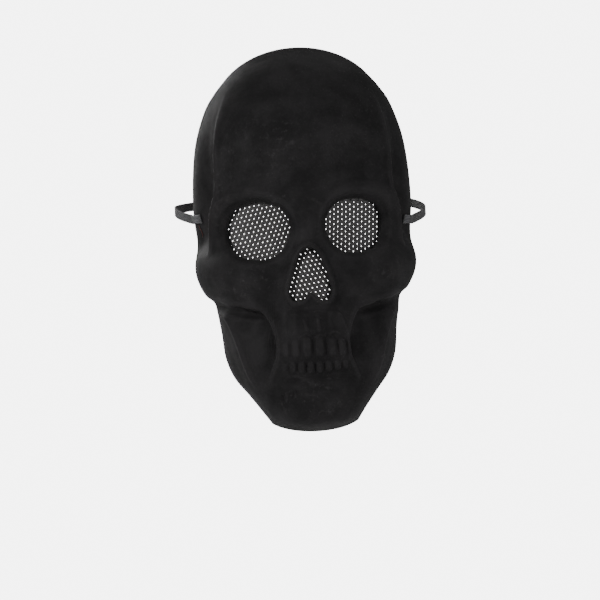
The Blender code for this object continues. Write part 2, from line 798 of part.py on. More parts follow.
def rim_place(height):
    """Where along the sections the rim reaches a height."""
    place = np.linspace(0, len(all_sections().turn) - 1, 600)
    rim = smooth_face(place, np.ones_like(place))[:, 2]
    return float(np.interp(height, rim, place))


def lap_line(height):
    """Points on the outside of the mask's side wall at one height, from the rim forward
    by the length of the strap's lap, with the way straight out of the wall at each."""
    share = np.linspace(1.0, 0.5, 200)
    place = np.full_like(share, rim_place(height))
    wall = raised_face(place, share, outer_relief, 0.0)
    steps = np.linalg.norm(np.diff(wall, axis=0), axis=1)
    passed = np.concatenate([[0.0], np.cumsum(steps)])
    runs = np.linspace(STRAP_LAP_LENGTH, 0.0, STRAP_LAP_STEPS + 1)
    away = outward(place, share)
    points = np.column_stack([np.interp(runs, passed, wall[:, axis]) for axis in range(3)])
    ways = np.column_stack([np.interp(runs, passed, away[:, axis]) for axis in range(3)])
    return points, ways


def strap_half(height):
    """The strap's four-cornered sections from its end on the mask's right side to the
    back of the head: low and high corners on its inside, then high and low outside."""
    low, low_way = lap_line(height - STRAP_WIDTH / 2)
    high, high_way = lap_line(height + STRAP_WIDTH / 2)
    inner = STRAP_CLEARANCE
    outer = STRAP_CLEARANCE + STRAP_THICKNESS
    corners = (
        low + low_way * inner,
        high + high_way * inner,
        high + high_way * outer,
        low + low_way * outer,
    )
    sections = list(zip(*corners))
    rim = (sections[-1][0] + sections[-1][2]) / 2
    route = [rim]
    for step in range(1, STRAP_SIDE_STEPS + 1):
        part = step / STRAP_SIDE_STEPS
        x = rim[0] + (HEAD_HALF_WIDTH - rim[0]) * math.sin(part * math.pi / 2)
        y = rim[1] + (EAR_BACK - rim[1]) * part
        route.append(np.array([x, y, height + STRAP_EAR_RISE * part]))
    ear_height = height + STRAP_EAR_RISE
    for step in range(1, STRAP_TURN_STEPS + 1):
        angle = step / STRAP_TURN_STEPS * math.pi / 2
        x = HEAD_HALF_WIDTH * math.cos(angle)
        y = EAR_BACK + (HEAD_BACK - EAR_BACK) * math.sin(angle)
        z = ear_height + (STRAP_BACK_HEIGHT - ear_height) * math.sin(angle)
        route.append(np.array([x, y, z]))
    for index in range(1, len(route)):
        following = route[index + 1] if index + 1 < len(route) else route[index] - (1, 0, 0)
        run = Vector(following - route[index - 1])
        away = Vector((run.y, -run.x, 0)).normalized()
        up = away.cross(run).normalized()
        if up.z < 0:
            up = -up
        edge = np.array(up) * STRAP_WIDTH / 2
        wall = np.array(away) * STRAP_THICKNESS / 2
        middle = route[index]
        sections.append(
            (middle - edge - wall, middle + edge - wall, middle + edge + wall, middle - edge + wall)
        )
    return sections


def build_strap(collection):
    """One flat elastic band, whose ends lie on the outside of the mask's side walls."""
    mirror = np.array([-1.0, 1.0, 1.0])
    left = [[corner * mirror for corner in section] for section in strap_half(STRAP_LEFT_HEIGHT)]
    right = strap_half(STRAP_RIGHT_HEIGHT)
    shape = bmesh.new()
    sections = [[shape.verts.new(corner) for corner in section] for section in left + right[-2::-1]]
    for start, end in zip(sections[:-1], sections[1:]):
        for index in range(4):
            following = (index + 1) % 4
            shape.faces.new((start[index], start[following], end[following], end[index]))
    shape.faces.new(sections[0])
    shape.faces.new(sections[-1][::-1])
    bmesh.ops.recalc_face_normals(shape, faces=shape.faces)
    mesh = bpy.data.meshes.new("elastic_strap")
    shape.to_mesh(mesh)
    shape.free()
    return make_object("elastic_strap", mesh, collection)


def build():
    clear_scene()
    parts = make_collection("skull_mask")
    cutters = make_collection("skull_mask_cutters")
    cutters.hide_render = True
    shell_plastic = make_material("matte_black_shell", (0.012, 0.012, 0.013), 0.85)
    net_yarn = make_material("black_net", (0.02, 0.02, 0.02), 0.7)
    strap_elastic = make_material("black_elastic", (0.015, 0.015, 0.015), 0.8)

    shell = make_object("mask_shell", build_shell_mesh(), parts)
    shell.data.materials.append(shell_plastic)
    holes = {
        "eye_net_left": (eye_outline(EYES[0]), eye_outline(EYES[0], NET_MARGIN)),
        "eye_net_right": (eye_outline(EYES[1]), eye_outline(EYES[1], NET_MARGIN)),
        "nose_net": (nose_outline(), nose_panel_outline()),
    }
    for name, (hole, panel) in holes.items():
        cut(shell, build_prism(name + "_hole", hole, -RIM_DEPTH, RIM_DEPTH, cutters))
        net = build_net(name, hole, panel, (parts, cutters))
        net.data.materials.append(net_yarn)
    strap = build_strap(parts)
    strap.data.materials.append(strap_elastic)


build()
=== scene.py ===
"""A matte black skull mask as worn on a face, with knit net behind its eye and nose
holes and a flat elastic strap. Metres, Z up, the face looking towards -Y."""

import math
from collections import namedtuple

import bpy
import numpy as np
from mathutils import Matrix, Vector
from mathutils.bvhtree import BVHTree


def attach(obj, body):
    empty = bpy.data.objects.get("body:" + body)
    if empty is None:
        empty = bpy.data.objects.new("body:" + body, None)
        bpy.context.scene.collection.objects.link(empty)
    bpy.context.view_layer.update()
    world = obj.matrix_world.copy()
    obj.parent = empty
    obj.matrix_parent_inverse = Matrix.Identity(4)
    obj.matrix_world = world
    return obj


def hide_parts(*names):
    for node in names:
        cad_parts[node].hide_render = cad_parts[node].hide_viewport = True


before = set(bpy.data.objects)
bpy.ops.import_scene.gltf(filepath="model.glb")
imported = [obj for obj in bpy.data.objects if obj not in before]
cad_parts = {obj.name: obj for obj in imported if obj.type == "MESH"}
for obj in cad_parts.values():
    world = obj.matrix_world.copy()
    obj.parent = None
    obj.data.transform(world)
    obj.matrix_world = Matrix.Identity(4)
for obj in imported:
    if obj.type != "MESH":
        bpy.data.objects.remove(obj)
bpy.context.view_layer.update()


# Camera. The photograph is taken from almost straight in front with a long lens, the
# camera rolled by three degrees. The mask's origin falls on one known pixel of the frame.
CAMERA_YAW = math.radians(-2.0)
CAMERA_ROLL = math.radians(2.95)
CAMERA_DISTANCE = 2.0
FRAME_PIXELS = 600
METRES_A_PIXEL = 0.000645
ORIGIN_PIXEL = (306.85, 228.5)
SENSOR_WIDTH = 36.0


def add_camera():
    """A camera whose frame is METRES_A_PIXEL to the pixel at the mask's origin."""
    off_x = ORIGIN_PIXEL[0] - FRAME_PIXELS / 2
    off_y = ORIGIN_PIXEL[1] - FRAME_PIXELS / 2
    turn_cos = math.cos(CAMERA_ROLL)
    turn_sin = math.sin(CAMERA_ROLL)
    origin_right = (off_x * turn_cos - off_y * turn_sin) * METRES_A_PIXEL
    origin_up = -(off_x * turn_sin + off_y * turn_cos) * METRES_A_PIXEL
    right = Vector((math.cos(CAMERA_YAW), math.sin(CAMERA_YAW), 0))
    back = Vector((math.sin(CAMERA_YAW), -math.cos(CAMERA_YAW), 0))
    up = Vector((0, 0, 1))
    place = back * CAMERA_DISTANCE - right * origin_right - up * origin_up
    bpy.ops.object.camera_add()
    camera = bpy.context.object
    camera.name = "photograph_camera"
    frame_width = FRAME_PIXELS * METRES_A_PIXEL
    camera.data.sensor_width = SENSOR_WIDTH
    camera.data.lens = SENSOR_WIDTH * CAMERA_DISTANCE / frame_width
    camera.data.clip_end = 100
    turned_right = right * turn_cos - up * turn_sin
    turned_up = up * turn_cos + right * turn_sin
    turned = Matrix((turned_right, turned_up, back)).transposed().to_4x4()
    camera.matrix_world = Matrix.Translation(place) @ turned
    bpy.context.scene.camera = camera


add_camera()


# Studio. A wide white floor well below the mask and an even white surround, with a soft
# light from the upper left in front, a weaker one from the right and one from behind.
FLOOR_HEIGHT = -0.42
FLOOR_WIDTH = 24.0
SURROUND_BRIGHTNESS = 6.0
SURROUND_LIGHT = 0.16


def show_white_light_dim(tree, surface, out):
    """White where the camera looks, and the given surface for the light that it gives."""
    kind = "ShaderNodeBackground" if out.type == "OUTPUT_WORLD" else "ShaderNodeEmission"
    white = tree.nodes.new(kind)
    white.inputs["Color"].default_value = (1, 1, 1, 1)
    white.inputs["Strength"].default_value = SURROUND_BRIGHTNESS
    path = tree.nodes.new("ShaderNodeLightPath")
    mix = tree.nodes.new("ShaderNodeMixShader")
    tree.links.new(path.outputs["Is Camera Ray"], mix.inputs["Fac"])
    tree.links.new(surface, mix.inputs[1])
    tree.links.new(white.outputs[0], mix.inputs[2])
    tree.links.new(mix.outputs["Shader"], out.inputs["Surface"])


def light_surround():
    world = bpy.data.worlds.new("white_surround")
    world.use_nodes = True
    tree = world.node_tree
    dim = tree.nodes["Background"]
    dim.inputs["Color"].default_value = (1, 1, 1, 1)
    dim.inputs["Strength"].default_value = SURROUND_LIGHT
    show_white_light_dim(tree, dim.outputs["Background"], tree.nodes["World Output"])
    bpy.context.scene.world = world


def new_material(name):
    """A new material, its node tree and its shader."""
    material = bpy.data.materials.new(name)
    material.use_nodes = True
    return material, material.node_tree, material.node_tree.nodes["Principled BSDF"]


def add_floor():
    bpy.ops.object.select_all(action="DESELECT")
    bpy.ops.mesh.primitive_plane_add(size=FLOOR_WIDTH, location=(0, 0, FLOOR_HEIGHT))
    floor = bpy.context.object
    floor.name = "studio_floor"
    paint, tree, shader = new_material("white_floor")
    shader.inputs["Base Color"].default_value = (0.85, 0.85, 0.85, 1)
    shader.inputs["Roughness"].default_value = 0.9
    show_white_light_dim(tree, shader.outputs["BSDF"], tree.nodes["Material Output"])
    floor.data.materials.append(paint)


def add_light(name, place, size, power):
    """A round soft light that faces the mask."""
    bpy.ops.object.light_add(type="AREA", location=place)
    light = bpy.context.object
    light.name = name
    light.data.shape = "DISK"
    light.data.size = size
    light.data.energy = power
    light.rotation_euler = Vector(place).to_track_quat("Z", "Y").to_euler()


light_surround()
add_floor()
add_light("key_light", (-1.5, -1.1, 0.8), 0.5, 18)
add_light("fill_light", (1.4, -1.4, -0.25), 0.7, 15)
add_light("back_light", (-0.9, 1.7, 0.8), 0.9, 16)


# Mask shell. One skin of soft black plastic foam, moulded as a human skull's face from the
# crown to the chin and about two millimetres thick. Its eye and nose holes are trimmed
# out and its edges are left soft. Its high places are painted a little paler, partly as
# rubbed wear and partly as painted highlight.
CROWN_HEIGHT = 0.1215
CHIN_DROP = 0.1313
TEMPLE_HALF_WIDTH = 0.0725
CHEEK_HALF_WIDTH = 0.0730
JAW_HALF_WIDTH = 0.0578
RIM_DEPTH = 0.0600
WALL = 0.0022
INNER_REACH = 0.0050
PLACES_AROUND = 8
BRIDGE_WIDTH = 0.0240
EYE_HALF_WIDTH = 0.0205
EYE_HALF_HEIGHT = 0.0180
SOCKET_DEPTH = 0.0045
NOSE_TOP_DROP = 0.0132
NOSE_HEIGHT = 0.0340
NOSE_HALF_WIDTH = 0.0137
NOSE_LIP_RISE = 0.0012
NOSE_LIP_WIDTH = 0.0034
NOSE_LIP_CREST_SHARE = 0.35
NOSE_BONE_RISE = 0.0030
NOSE_BONE_WIDTH_SHARE = 0.62
NOSE_BONE_REACH_SHARE = 0.35
NOSE_BONE_MIDDLE_SHARE = 0.90
BROW_RISE = 0.0022
BROW_WIDTH = 0.0080
CHEEKBONE_RISE = 0.0034
CHEEK_EDGE_RISE = 0.0014
CHEEK_EDGE_GROOVE = 0.0026
CHEEK_EDGE_WIDTH = 0.0085
TEMPLE_RIDGE_RISE = 0.0010
TEMPLE_HOLLOW = 0.0046
TEMPLE_RIDGE_WIDTH = 0.0060
TEMPLE_WALL_SHARE = 0.28
TEMPLE_FLOOR_SHARE = 0.80
TEMPLE_SLOPE_SHARE = 1.60
JAW_HOLLOW = 0.0052
JAW_HOLLOW_EDGE = 0.0028
JAW_RIDGE_RISE = 0.0018
JAW_RIDGE_WIDTH = 0.0075
CHIN_RISE = 0.0026
TOOTH_RISE = 0.0011
TOOTH_POWER = 3
TOOTH_EDGE = 1.04
TOOTH_SLOPE = 0.60
GUM_GROOVE = 0.00034
BITE_DROP = 0.0835
ROOT_LENGTH = 0.0170
ROOT_RISE = 0.0004
ROOT_HALF_WIDTH = 0.0034
ROOT_MIDDLE_SHARE = 0.72
ROOT_SPREAD_SHARE = 0.80
RIM_FADE = 0.12
END_FADE = 1.0
SMALL_STEP = 0.01
LINE_FINENESS = 3
SHELL_COLUMNS = 96
CENTRE_FINENESS = 0.58
EDGE_CUTS = 3
EDGE_BULGE = 0.0005
CREST_REACH = 0.0030
CREST_HEIGHT = 0.0008

Section = namedtuple("Section", "rim_up rim_out rim_back mid_up mid_back turn rows")
JAW_SECTIONS = (
    Section(-0.956, 0.485, 0.33, -1.000, 0.10, 60, 8),
    Section(-0.893, 0.590, 0.46, -0.950, -0.14, 76, 16),
    Section(-0.806, 0.735, 0.57, -0.858, -0.22, 86, 18),
    Section(-0.723, 0.880, 0.66, -0.754, -0.19, 90, 24),
    Section(-0.624, 0.968, 0.73, -0.640, -0.24, 90, 28),
    Section(-0.502, 1.000, 0.77, -0.502, -0.21, 90, 16),
    Section(-0.396, 1.036, 0.79, -0.396, -0.19, 90, 8),
    Section(-0.342, 1.066, 0.80, -0.342, -0.18, 90, 9),
)
CHEEK_SECTIONS = (
    Section(-0.303, 0.918, 0.82, -0.303, -0.17, 90, 14),
    Section(-0.236, 0.977, 0.87, -0.236, -0.15, 90, 16),
    Section(-0.152, 1.000, 0.91, -0.152, -0.11, 90, 18),
)
HEAD_SECTIONS = (
    Section(-0.041, 0.976, 0.95, -0.041, -0.05, 90, 24),
    Section(0.123, 0.999, 1.00, 0.112, -0.08, 90, 22),
    Section(0.330, 0.987, 1.01, 0.310, -0.08, 90, 10),
    Section(0.510, 0.945, 1.00, 0.520, -0.02, 88, 14),
    Section(0.675, 0.852, 0.97, 0.725, 0.17, 82, 8),
    Section(0.765, 0.759, 0.95, 0.875, 0.45, 74, 8),
    Section(0.823, 0.676, 0.93, 1.000, 0.90, 60, 0),
)
Eye = namedtuple(
    "Eye", "side centre_out centre_up wide high upper_out upper_in lower_in lower_out"
)
EYES = (
    Eye(-1, 1.015, 0.01, 1.045, 1.030, 2.40, 2.05, 2.00, 2.00),
    Eye(1, 0.975, 0.04, 0.945, 0.955, 3.10, 2.10, 2.10, 2.25),
)

# How a socket sinks round its eye hole: the angle where it is deepest and how far it
# spreads from there, in degrees, its reach, how much of the reach is lost where it is
# deepest, and its depth as a share, with what is added where it is deepest
Socket = namedtuple("Socket", "upwards spread reach narrowing share brow_share")
INNER_SOCKET = Socket(75, 110, 0.0090, 0.25, 0.80, 0.20)
OUTER_SOCKET = Socket(90, 125, 0.0052, 0.00, 0.35, 0.60)

# Lines on the right half of the face. The brow's is in shares of the eye hole's half sizes
# from its middle, the nose hole's edge in shares of the hole's, the rest in shares of the
# temples' half width and the face's heights.
SharePoint = namedtuple("SharePoint", "out up")
BROW_LINE = (
    SharePoint(-1.35, 0.72),
    SharePoint(-0.70, 1.15),
    SharePoint(0.15, 1.40),
    SharePoint(0.90, 1.20),
    SharePoint(1.28, 0.60),
    SharePoint(1.36, -0.20),
)
NOSE_OUTLINE = (
    SharePoint(0.00, 0.00),
    SharePoint(0.33, -0.05),
    SharePoint(0.60, -0.24),
    SharePoint(0.80, -0.47),
    SharePoint(0.97, -0.70),
    SharePoint(1.00, -0.85),
    SharePoint(0.80, -0.98),
    SharePoint(0.45, -0.97),
    SharePoint(0.17, -0.89),
    SharePoint(0.00, -0.81),
)
TEMPLE_LINE = (
    SharePoint(0.62, 0.80),
    SharePoint(0.73, 0.62),
    SharePoint(0.79, 0.42),
    SharePoint(0.785, 0.27),
    SharePoint(0.81, 0.16),
    SharePoint(0.845, 0.05),
    SharePoint(0.87, -0.05),
    SharePoint(0.885, -0.12),
)
CHEEK_EDGE_LINE = (
    SharePoint(0.40, -0.383),
    SharePoint(0.52, -0.388),
    SharePoint(0.64, -0.375),
    SharePoint(0.75, -0.356),
    SharePoint(0.86, -0.325),
)
UPPER_JAW_LINE = (
    SharePoint(0.58, -0.372),
    SharePoint(0.46, -0.390),
    SharePoint(0.39, -0.430),
    SharePoint(0.345, -0.490),
    SharePoint(0.320, -0.560),
    SharePoint(0.335, -0.640),
    SharePoint(0.40, -0.740),
)
JAW_RIDGE_LINE = (
    SharePoint(0.80, -0.375),
    SharePoint(0.735, -0.420),
    SharePoint(0.68, -0.482),
    SharePoint(0.64, -0.560),
    SharePoint(0.605, -0.635),
    SharePoint(0.565, -0.700),
    SharePoint(0.52, -0.762),
    SharePoint(0.46, -0.845),
)
CHIN_CREASE_LINE = (
    SharePoint(0.0, -0.755),
    SharePoint(0.14, -0.760),
    SharePoint(0.27, -0.790),
)

# How much of each line's length its form fades in over and out over
Fade = namedtuple("Fade", "start end")
BROW_FADE = Fade(0.32, 0.30)
TEMPLE_RIDGE_FADE = Fade(0.20, 0.20)
TEMPLE_HOLLOW_FADE = Fade(0.50, 0.22)
CHEEK_EDGE_FADE = Fade(0.35, 0.25)
JAW_HOLLOW_FADE = Fade(0.20, 0.50)
JAW_RIDGE_FADE = Fade(0.15, 0.30)
CHIN_CREASE_FADE = 0.40

# Bands beside an edge, in shares of the width of what lies there
Band = namedtuple("Band", "middle half_width")
CHEEK_EDGE_CREST = Band(0.35, 0.70)
CHEEK_EDGE_TRENCH = Band(-0.32, 0.55)
GUM_BAND = Band(1.10, 0.22)

# Broad oval mounds, in shares of the temples' half width, the face's heights and a rise
Mound = namedtuple("Mound", "out up half_out half_up rise")
MOUNDS = (
    Mound(0.60, -0.19, 0.34, 0.145, 1.00),
    Mound(0.86, -0.19, 0.26, 0.120, 0.55),
    Mound(0.00, 0.11, 0.20, 0.11, 0.45),
    Mound(0.42, 0.52, 0.42, 0.24, 0.50),
    Mound(0.00, -0.20, 0.33, 0.22, 0.75),
    Mound(0.30, -0.33, 0.15, 0.10, -0.40),
    Mound(0.00, -0.61, 0.38, 0.20, 0.95),
)
CHIN_MOUNDS = (
    Mound(0.00, -0.88, 0.36, 0.12, 1.00),
    Mound(0.29, -0.925, 0.17, 0.09, 0.55),
)

# Teeth in millimetres on the face, each with its share of a tooth's rise
Tooth = namedtuple("Tooth", "left right top bottom rise")
TEETH = (
    Tooth(-25.6, -20.9, -72.5, -81.5, 0.2),
    Tooth(-20.5, -14.8, -71.5, -82.6, 0.4),
    Tooth(-14.4, -8.2, -70.3, -83.0, 0.7),
    Tooth(-7.8, -0.6, -68.8, -83.2, 1.1),
    Tooth(-0.2, 7.2, -68.8, -83.2, 1.1),
    Tooth(7.6, 14.7, -70.0, -83.2, 1.0),
    Tooth(15.1, 20.8, -71.0, -83.0, 1.1),
    Tooth(21.3, 26.0, -72.5, -82.0, 0.6),
    Tooth(-21.0, -16.6, -85.0, -91.5, 0.2),
    Tooth(-16.2, -11.0, -84.6, -92.2, 0.6),
    Tooth(-10.6, -5.5, -84.6, -92.4, 1.0),
    Tooth(-5.1, 0.0, -84.6, -92.6, 1.0),
    Tooth(0.4, 5.4, -84.6, -92.4, 1.0),
    Tooth(5.8, 11.0, -84.6, -92.2, 0.9),
    Tooth(11.4, 16.8, -84.8, -91.8, 0.8),
    Tooth(17.2, 22.0, -85.0, -91.2, 0.6),
)
ROOT_PLACES = (-0.0176, -0.0113, -0.0042, 0.0036, 0.0112, 0.0180)

# Small moulded marks in millimetres on the face: how high each stands, how wide it is to
# either side, and its line. A negative rise is a crease.
Mark = namedtuple("Mark", "rise half_width line")
MARKS = (
    Mark(0.75, 1.7, ((-57.0, 12.0), (-55.0, 19.5), (-47.0, 23.4), (-38.0, 24.2))),
    Mark(0.68, 3.2, ((-32.0, 23.5), (-21.0, 21.0), (-12.5, 16.0))),
    Mark(0.45, 1.5, ((3.0, 19.0), (7.0, 17.2), (10.5, 14.0))),
    Mark(0.68, 1.8, ((-57.5, 48.0), (-57.0, 32.0), (-59.0, 19.0), (-61.5, 6.0), (-63.0, -7.0))),
    Mark(0.68, 1.8, ((57.5, 48.0), (57.0, 32.0), (59.0, 19.0), (61.5, 6.0), (63.0, -7.0))),
    Mark(0.90, 1.8, ((-57.0, -49.0), (-51.5, -59.0), (-46.6, -73.0), (-42.5, -87.0), (-36.0, -104.0))),
    Mark(0.68, 1.8, ((57.0, -49.0), (51.5, -59.0), (46.6, -73.0), (42.5, -87.0), (36.0, -104.0))),
    Mark(-0.68, 1.5, ((-17.0, -52.4), (-6.0, -53.4), (8.0, -53.2))),
    Mark(-0.52, 1.5, ((8.0, -53.2), (16.0, -53.0), (22.0, -57.0))),
    Mark(0.68, 1.1, ((-6.2, -57.5), (-4.6, -62.0), (-3.0, -67.0))),
    Mark(0.52, 1.2, ((3.4, -57.5), (3.9, -62.0), (4.4, -67.5))),
    Mark(0.60, 1.2, ((19.6, -58.5), (20.6, -62.0), (22.6, -66.5))),
    Mark(0.83, 1.1, ((-9.4, -73.0), (-7.0, -69.2), (-4.0, -67.9), (-1.4, -69.4), (0.2, -72.0))),
    Mark(0.75, 1.1, ((0.2, -72.0), (1.6, -69.8), (4.6, -69.0), (7.6, -69.6), (8.4, -71.6))),
    Mark(0.60, 1.2, ((8.4, -71.4), (11.4, -68.2), (14.6, -67.2), (18.0, -69.4))),
    Mark(0.90, 1.0, ((-18.9, -104.6), (-18.6, -107.6), (-18.4, -111.0))),
    Mark(0.83, 1.0, ((-13.4, -103.4), (-12.9, -106.2), (-12.6, -108.6))),
    Mark(-0.68, 1.1, ((-21.2, -106.0), (-21.0, -109.0), (-20.6, -112.0))),
    Mark(0.52, 1.3, ((-15.6, -93.6), (-9.0, -95.8), (-3.0, -97.6), (2.0, -103.0))),
    Mark(0.68, 1.1, ((-11.0, -99.0), (-6.5, -97.6), (-2.5, -100.0), (1.0, -101.5))),
    Mark(-0.60, 1.2, ((-10.5, -102.4), (-6.0, -101.0), (-1.0, -103.6), (2.5, -105.4))),
    Mark(0.52, 1.1, ((-7.0, -105.6), (-3.0, -107.2), (1.5, -107.0))),
)
MARK_FADE = Fade(0.22, 0.22)

# Fine streaks beside the upper jaw, and where handling has rubbed the surface, as ovals.
# The rubbed ovals are strongest on the left side and the left brow, where the light
# falls, so their pale flecks are partly painted highlight.
Oval = namedtuple("Oval", "out up half_out half_up strength")
STREAKS = (
    Oval(-0.0265, -0.0660, 0.0075, 0.0220, 1.00),
    Oval(0.0240, -0.0660, 0.0050, 0.0220, 0.40),
)
RUBBED_AND_LIT_PLACES = (
    Oval(-0.0400, -0.0330, 0.0240, 0.0160, 1.00),
    Oval(0.0470, -0.0300, 0.0200, 0.0160, 0.60),
    Oval(-0.0200, 0.0550, 0.0450, 0.0350, 0.55),
    Oval(0.0300, 0.0600, 0.0300, 0.0300, 0.35),
    Oval(-0.0540, 0.0350, 0.0140, 0.0500, 0.50),
    Oval(0.0000, -0.1100, 0.0350, 0.0220, 0.90),
    Oval(-0.0190, 0.0195, 0.0150, 0.0070, 1.30),
)


def hill(share):
    """1 where share is 0, falling smoothly to 0 where it reaches 1 either way."""
    return np.clip(1 - share * share, 0, None) ** 2


def ramp(share):
    """0 below 0, 1 above 1, and a smooth rise between."""
    held = np.clip(share, 0, 1)
    return held * held * (3 - 2 * held)


def across_band(widths, band):
    """A hill across a band beside an edge."""
    return hill((widths - band.middle) / band.half_width)


def spline(before, start, end, after, part):
    """A smooth curve's value at part of the way from start to end."""
    return 0.5 * (
        2 * start
        + (end - before) * part
        + (2 * before - 5 * start + 4 * end - after) * part**2
        + (3 * start - before - 3 * end + after) * part**3
    )


def read_smoothly(values, place):
    """The value at a place between the rows of a column of values."""
    values = np.asarray(values)
    last = len(values) - 1
    start = np.clip(np.floor(place).astype(int), 0, last - 1)
    before = values[np.maximum(start - 1, 0)]
    after = values[np.minimum(start + 2, last)]
    return spline(before, values[start], values[start + 1], after, place - start)


def refine(points, pieces):
    """The points of a smooth line through the given ones."""
    points = np.asarray(points, float)
    places = np.linspace(0, len(points) - 1, (len(points) - 1) * pieces + 1)
    return np.column_stack([read_smoothly(points[:, axis], places) for axis in (0, 1)])


def height_on_face(up):
    return up * (CROWN_HEIGHT if up > 0 else CHIN_DROP)


def face_line(line):
    points = [(point.out * TEMPLE_HALF_WIDTH, height_on_face(point.up)) for point in line]
    return refine(points, LINE_FINENESS)


def fade_ends(passed, fade):
    """1 along a line, falling to 0 at its two ends."""
    return ramp(passed / fade.start) * ramp((1 - passed) / fade.end)


def measure_from(line, x, z):
    """Distance from an open line, how much of the line is passed there, and which side
    of it the place lies on: 1 to the left of someone who walks along it, -1 to the right."""
    nearest = np.full(np.shape(x), np.inf)
    passed = np.zeros(np.shape(x))
    side = np.zeros(np.shape(x))
    for index, (start, end) in enumerate(zip(line[:-1], line[1:])):
        run = end - start
        length = run @ run
        part = np.clip(((x - start[0]) * run[0] + (z - start[1]) * run[1]) / length, 0, 1)
        off_x = x - start[0] - part * run[0]
        off_z = z - start[1] - part * run[1]
        distance = np.hypot(off_x, off_z)
        closer = distance < nearest
        nearest = np.where(closer, distance, nearest)
        passed = np.where(closer, (index + part) / (len(line) - 1), passed)
        side = np.where(closer, np.sign(run[0] * off_z - run[1] * off_x), side)
    return nearest, passed, side


def signed_distance(line, x, z):
    """Distance from an open line, positive to its left, and how much of it is passed."""
    distance, passed, side = measure_from(line, x, z)
    return np.where(side > 0, distance, -distance), passed


def all_sections():
    """The loft's sections in metres, with the turn in radians, as one array a column."""
    rows = []
    for table, out, height in (
        (JAW_SECTIONS, JAW_HALF_WIDTH, CHIN_DROP),
        (CHEEK_SECTIONS, CHEEK_HALF_WIDTH, CHIN_DROP),
        (HEAD_SECTIONS, TEMPLE_HALF_WIDTH, None),
    ):
        for section in table:
            rows.append(
                Section(
                    section.rim_up * height if height else height_on_face(section.rim_up),
                    section.rim_out * out,
                    section.rim_back * RIM_DEPTH,
                    section.mid_up * height if height else height_on_face(section.mid_up),
                    section.mid_back * RIM_DEPTH,
                    math.radians(section.turn),
                    section.rows,
                )
            )
    return Section(*(np.array(column, float) for column in zip(*rows)))


def smooth_face(place, share):
    """Points of the face without its bones, at a place along the sections and a share
    of the way from the middle (0) to the right (1) or left (-1) rim."""
    sections = all_sections()
    rim_up, rim_out, rim_back, mid_up, mid_back, turn = (
        read_smoothly(column, place) for column in sections[:6]
    )
    angle = turn * share
    lift = (1 - np.cos(angle)) / (1 - np.cos(turn))
    x = rim_out * np.sin(angle) / np.sin(turn)
    y = mid_back + (rim_back - mid_back) * lift
    z = mid_up + (rim_up - mid_up) * lift
    return np.stack([x, y, z], axis=-1)


def outward(place, share):
    """The direction that points straight out of the smooth face."""
    last = len(all_sections().turn) - 1
    held_place = np.clip(place, RIM_FADE, last - RIM_FADE)
    held_share = np.clip(share, SMALL_STEP - 1, 1 - SMALL_STEP)
    low = held_place - SMALL_STEP
    high = held_place + SMALL_STEP
    along_up = smooth_face(high, held_share) - smooth_face(low, held_share)
    right = smooth_face(held_place, held_share + SMALL_STEP)
    across = right - smooth_face(held_place, held_share - SMALL_STEP)
    direction = np.cross(across, along_up)
    return direction / np.linalg.norm(direction, axis=-1, keepdims=True)


def eye_centre(eye):
    out = BRIDGE_WIDTH / 2 + eye.centre_out * EYE_HALF_WIDTH
    return eye.side * out, eye.centre_up * EYE_HALF_HEIGHT


def eye_radius(eye, angle, margin=0.0):
    """How far an eye hole's edge is from its centre, where angle 0 points outwards from
    the face's middle and a quarter turn points up."""
    wide = eye.wide * EYE_HALF_WIDTH + margin
    high = eye.high * EYE_HALF_HEIGHT + margin
    out = np.cos(angle)
    up = np.sin(angle)
    fullness = np.where(
        up > 0,
        np.where(out > 0, eye.upper_out, eye.upper_in),
        np.where(out > 0, eye.lower_out, eye.lower_in),
    )
    return (np.abs(out / wide) ** fullness + np.abs(up / high) ** fullness) ** (-1 / fullness)


def outside_eye(eye, x, z):
    """Roughly how far a place lies outside an eye hole's edge, and its angle there."""
    centre_x, centre_z = eye_centre(eye)
    out = (x - centre_x) * eye.side
    up = z - centre_z
    angle = np.arctan2(up, out)
    return np.hypot(out, up) - eye_radius(eye, angle), angle


def outside_nose(x, z):
    """How far a place lies outside the nose hole's edge."""
    half = np.array(NOSE_OUTLINE) * (NOSE_HALF_WIDTH, NOSE_HEIGHT) - (0, NOSE_TOP_DROP)
    return signed_distance(refine(half, LINE_FINENESS), np.abs(x), z)[0]


def socket_depth(form, beyond, turned):
    """How deep a socket is beyond its hole's edge, turned away from its deepest side."""
    towards_brow = hill(turned / math.radians(form.spread))
    reach = form.reach * (1 - form.narrowing * towards_brow)
    sunk = SOCKET_DEPTH * (form.share + form.brow_share * towards_brow)
    return sunk * (1 - ramp(beyond / reach))


def sockets(x, z):
    """The hollow that each eye hole lies in, deepest and steepest towards the brow."""
    depth = np.zeros(np.shape(x))
    for eye in EYES:
        beyond, angle = outside_eye(eye, x, z)
        turned = angle - math.radians(INNER_SOCKET.upwards)
        depth += socket_depth(INNER_SOCKET, beyond, turned)
    return -depth


def socket_walls(x, z):
    """The same hollow as it shows outside: a short steep wall, high only at the brow."""
    depth = np.zeros(np.shape(x))
    for eye in EYES:
        beyond, angle = outside_eye(eye, x, z)
        turned = (angle - math.radians(OUTER_SOCKET.upwards) + math.pi) % math.tau - math.pi
        depth += socket_depth(OUTER_SOCKET, beyond, turned)
    return -depth


def brow(x, z):
    """The ridge over each eye, from the middle of the brow to the outer corner."""
    eye_x = BRIDGE_WIDTH / 2 + EYE_HALF_WIDTH
    points = np.array(BROW_LINE) * (EYE_HALF_WIDTH, EYE_HALF_HEIGHT) + (eye_x, 0)
    distance, passed, _ = measure_from(refine(points, LINE_FINENESS), np.abs(x), z)
    return BROW_RISE * hill(distance / BROW_WIDTH) * fade_ends(passed, BROW_FADE)


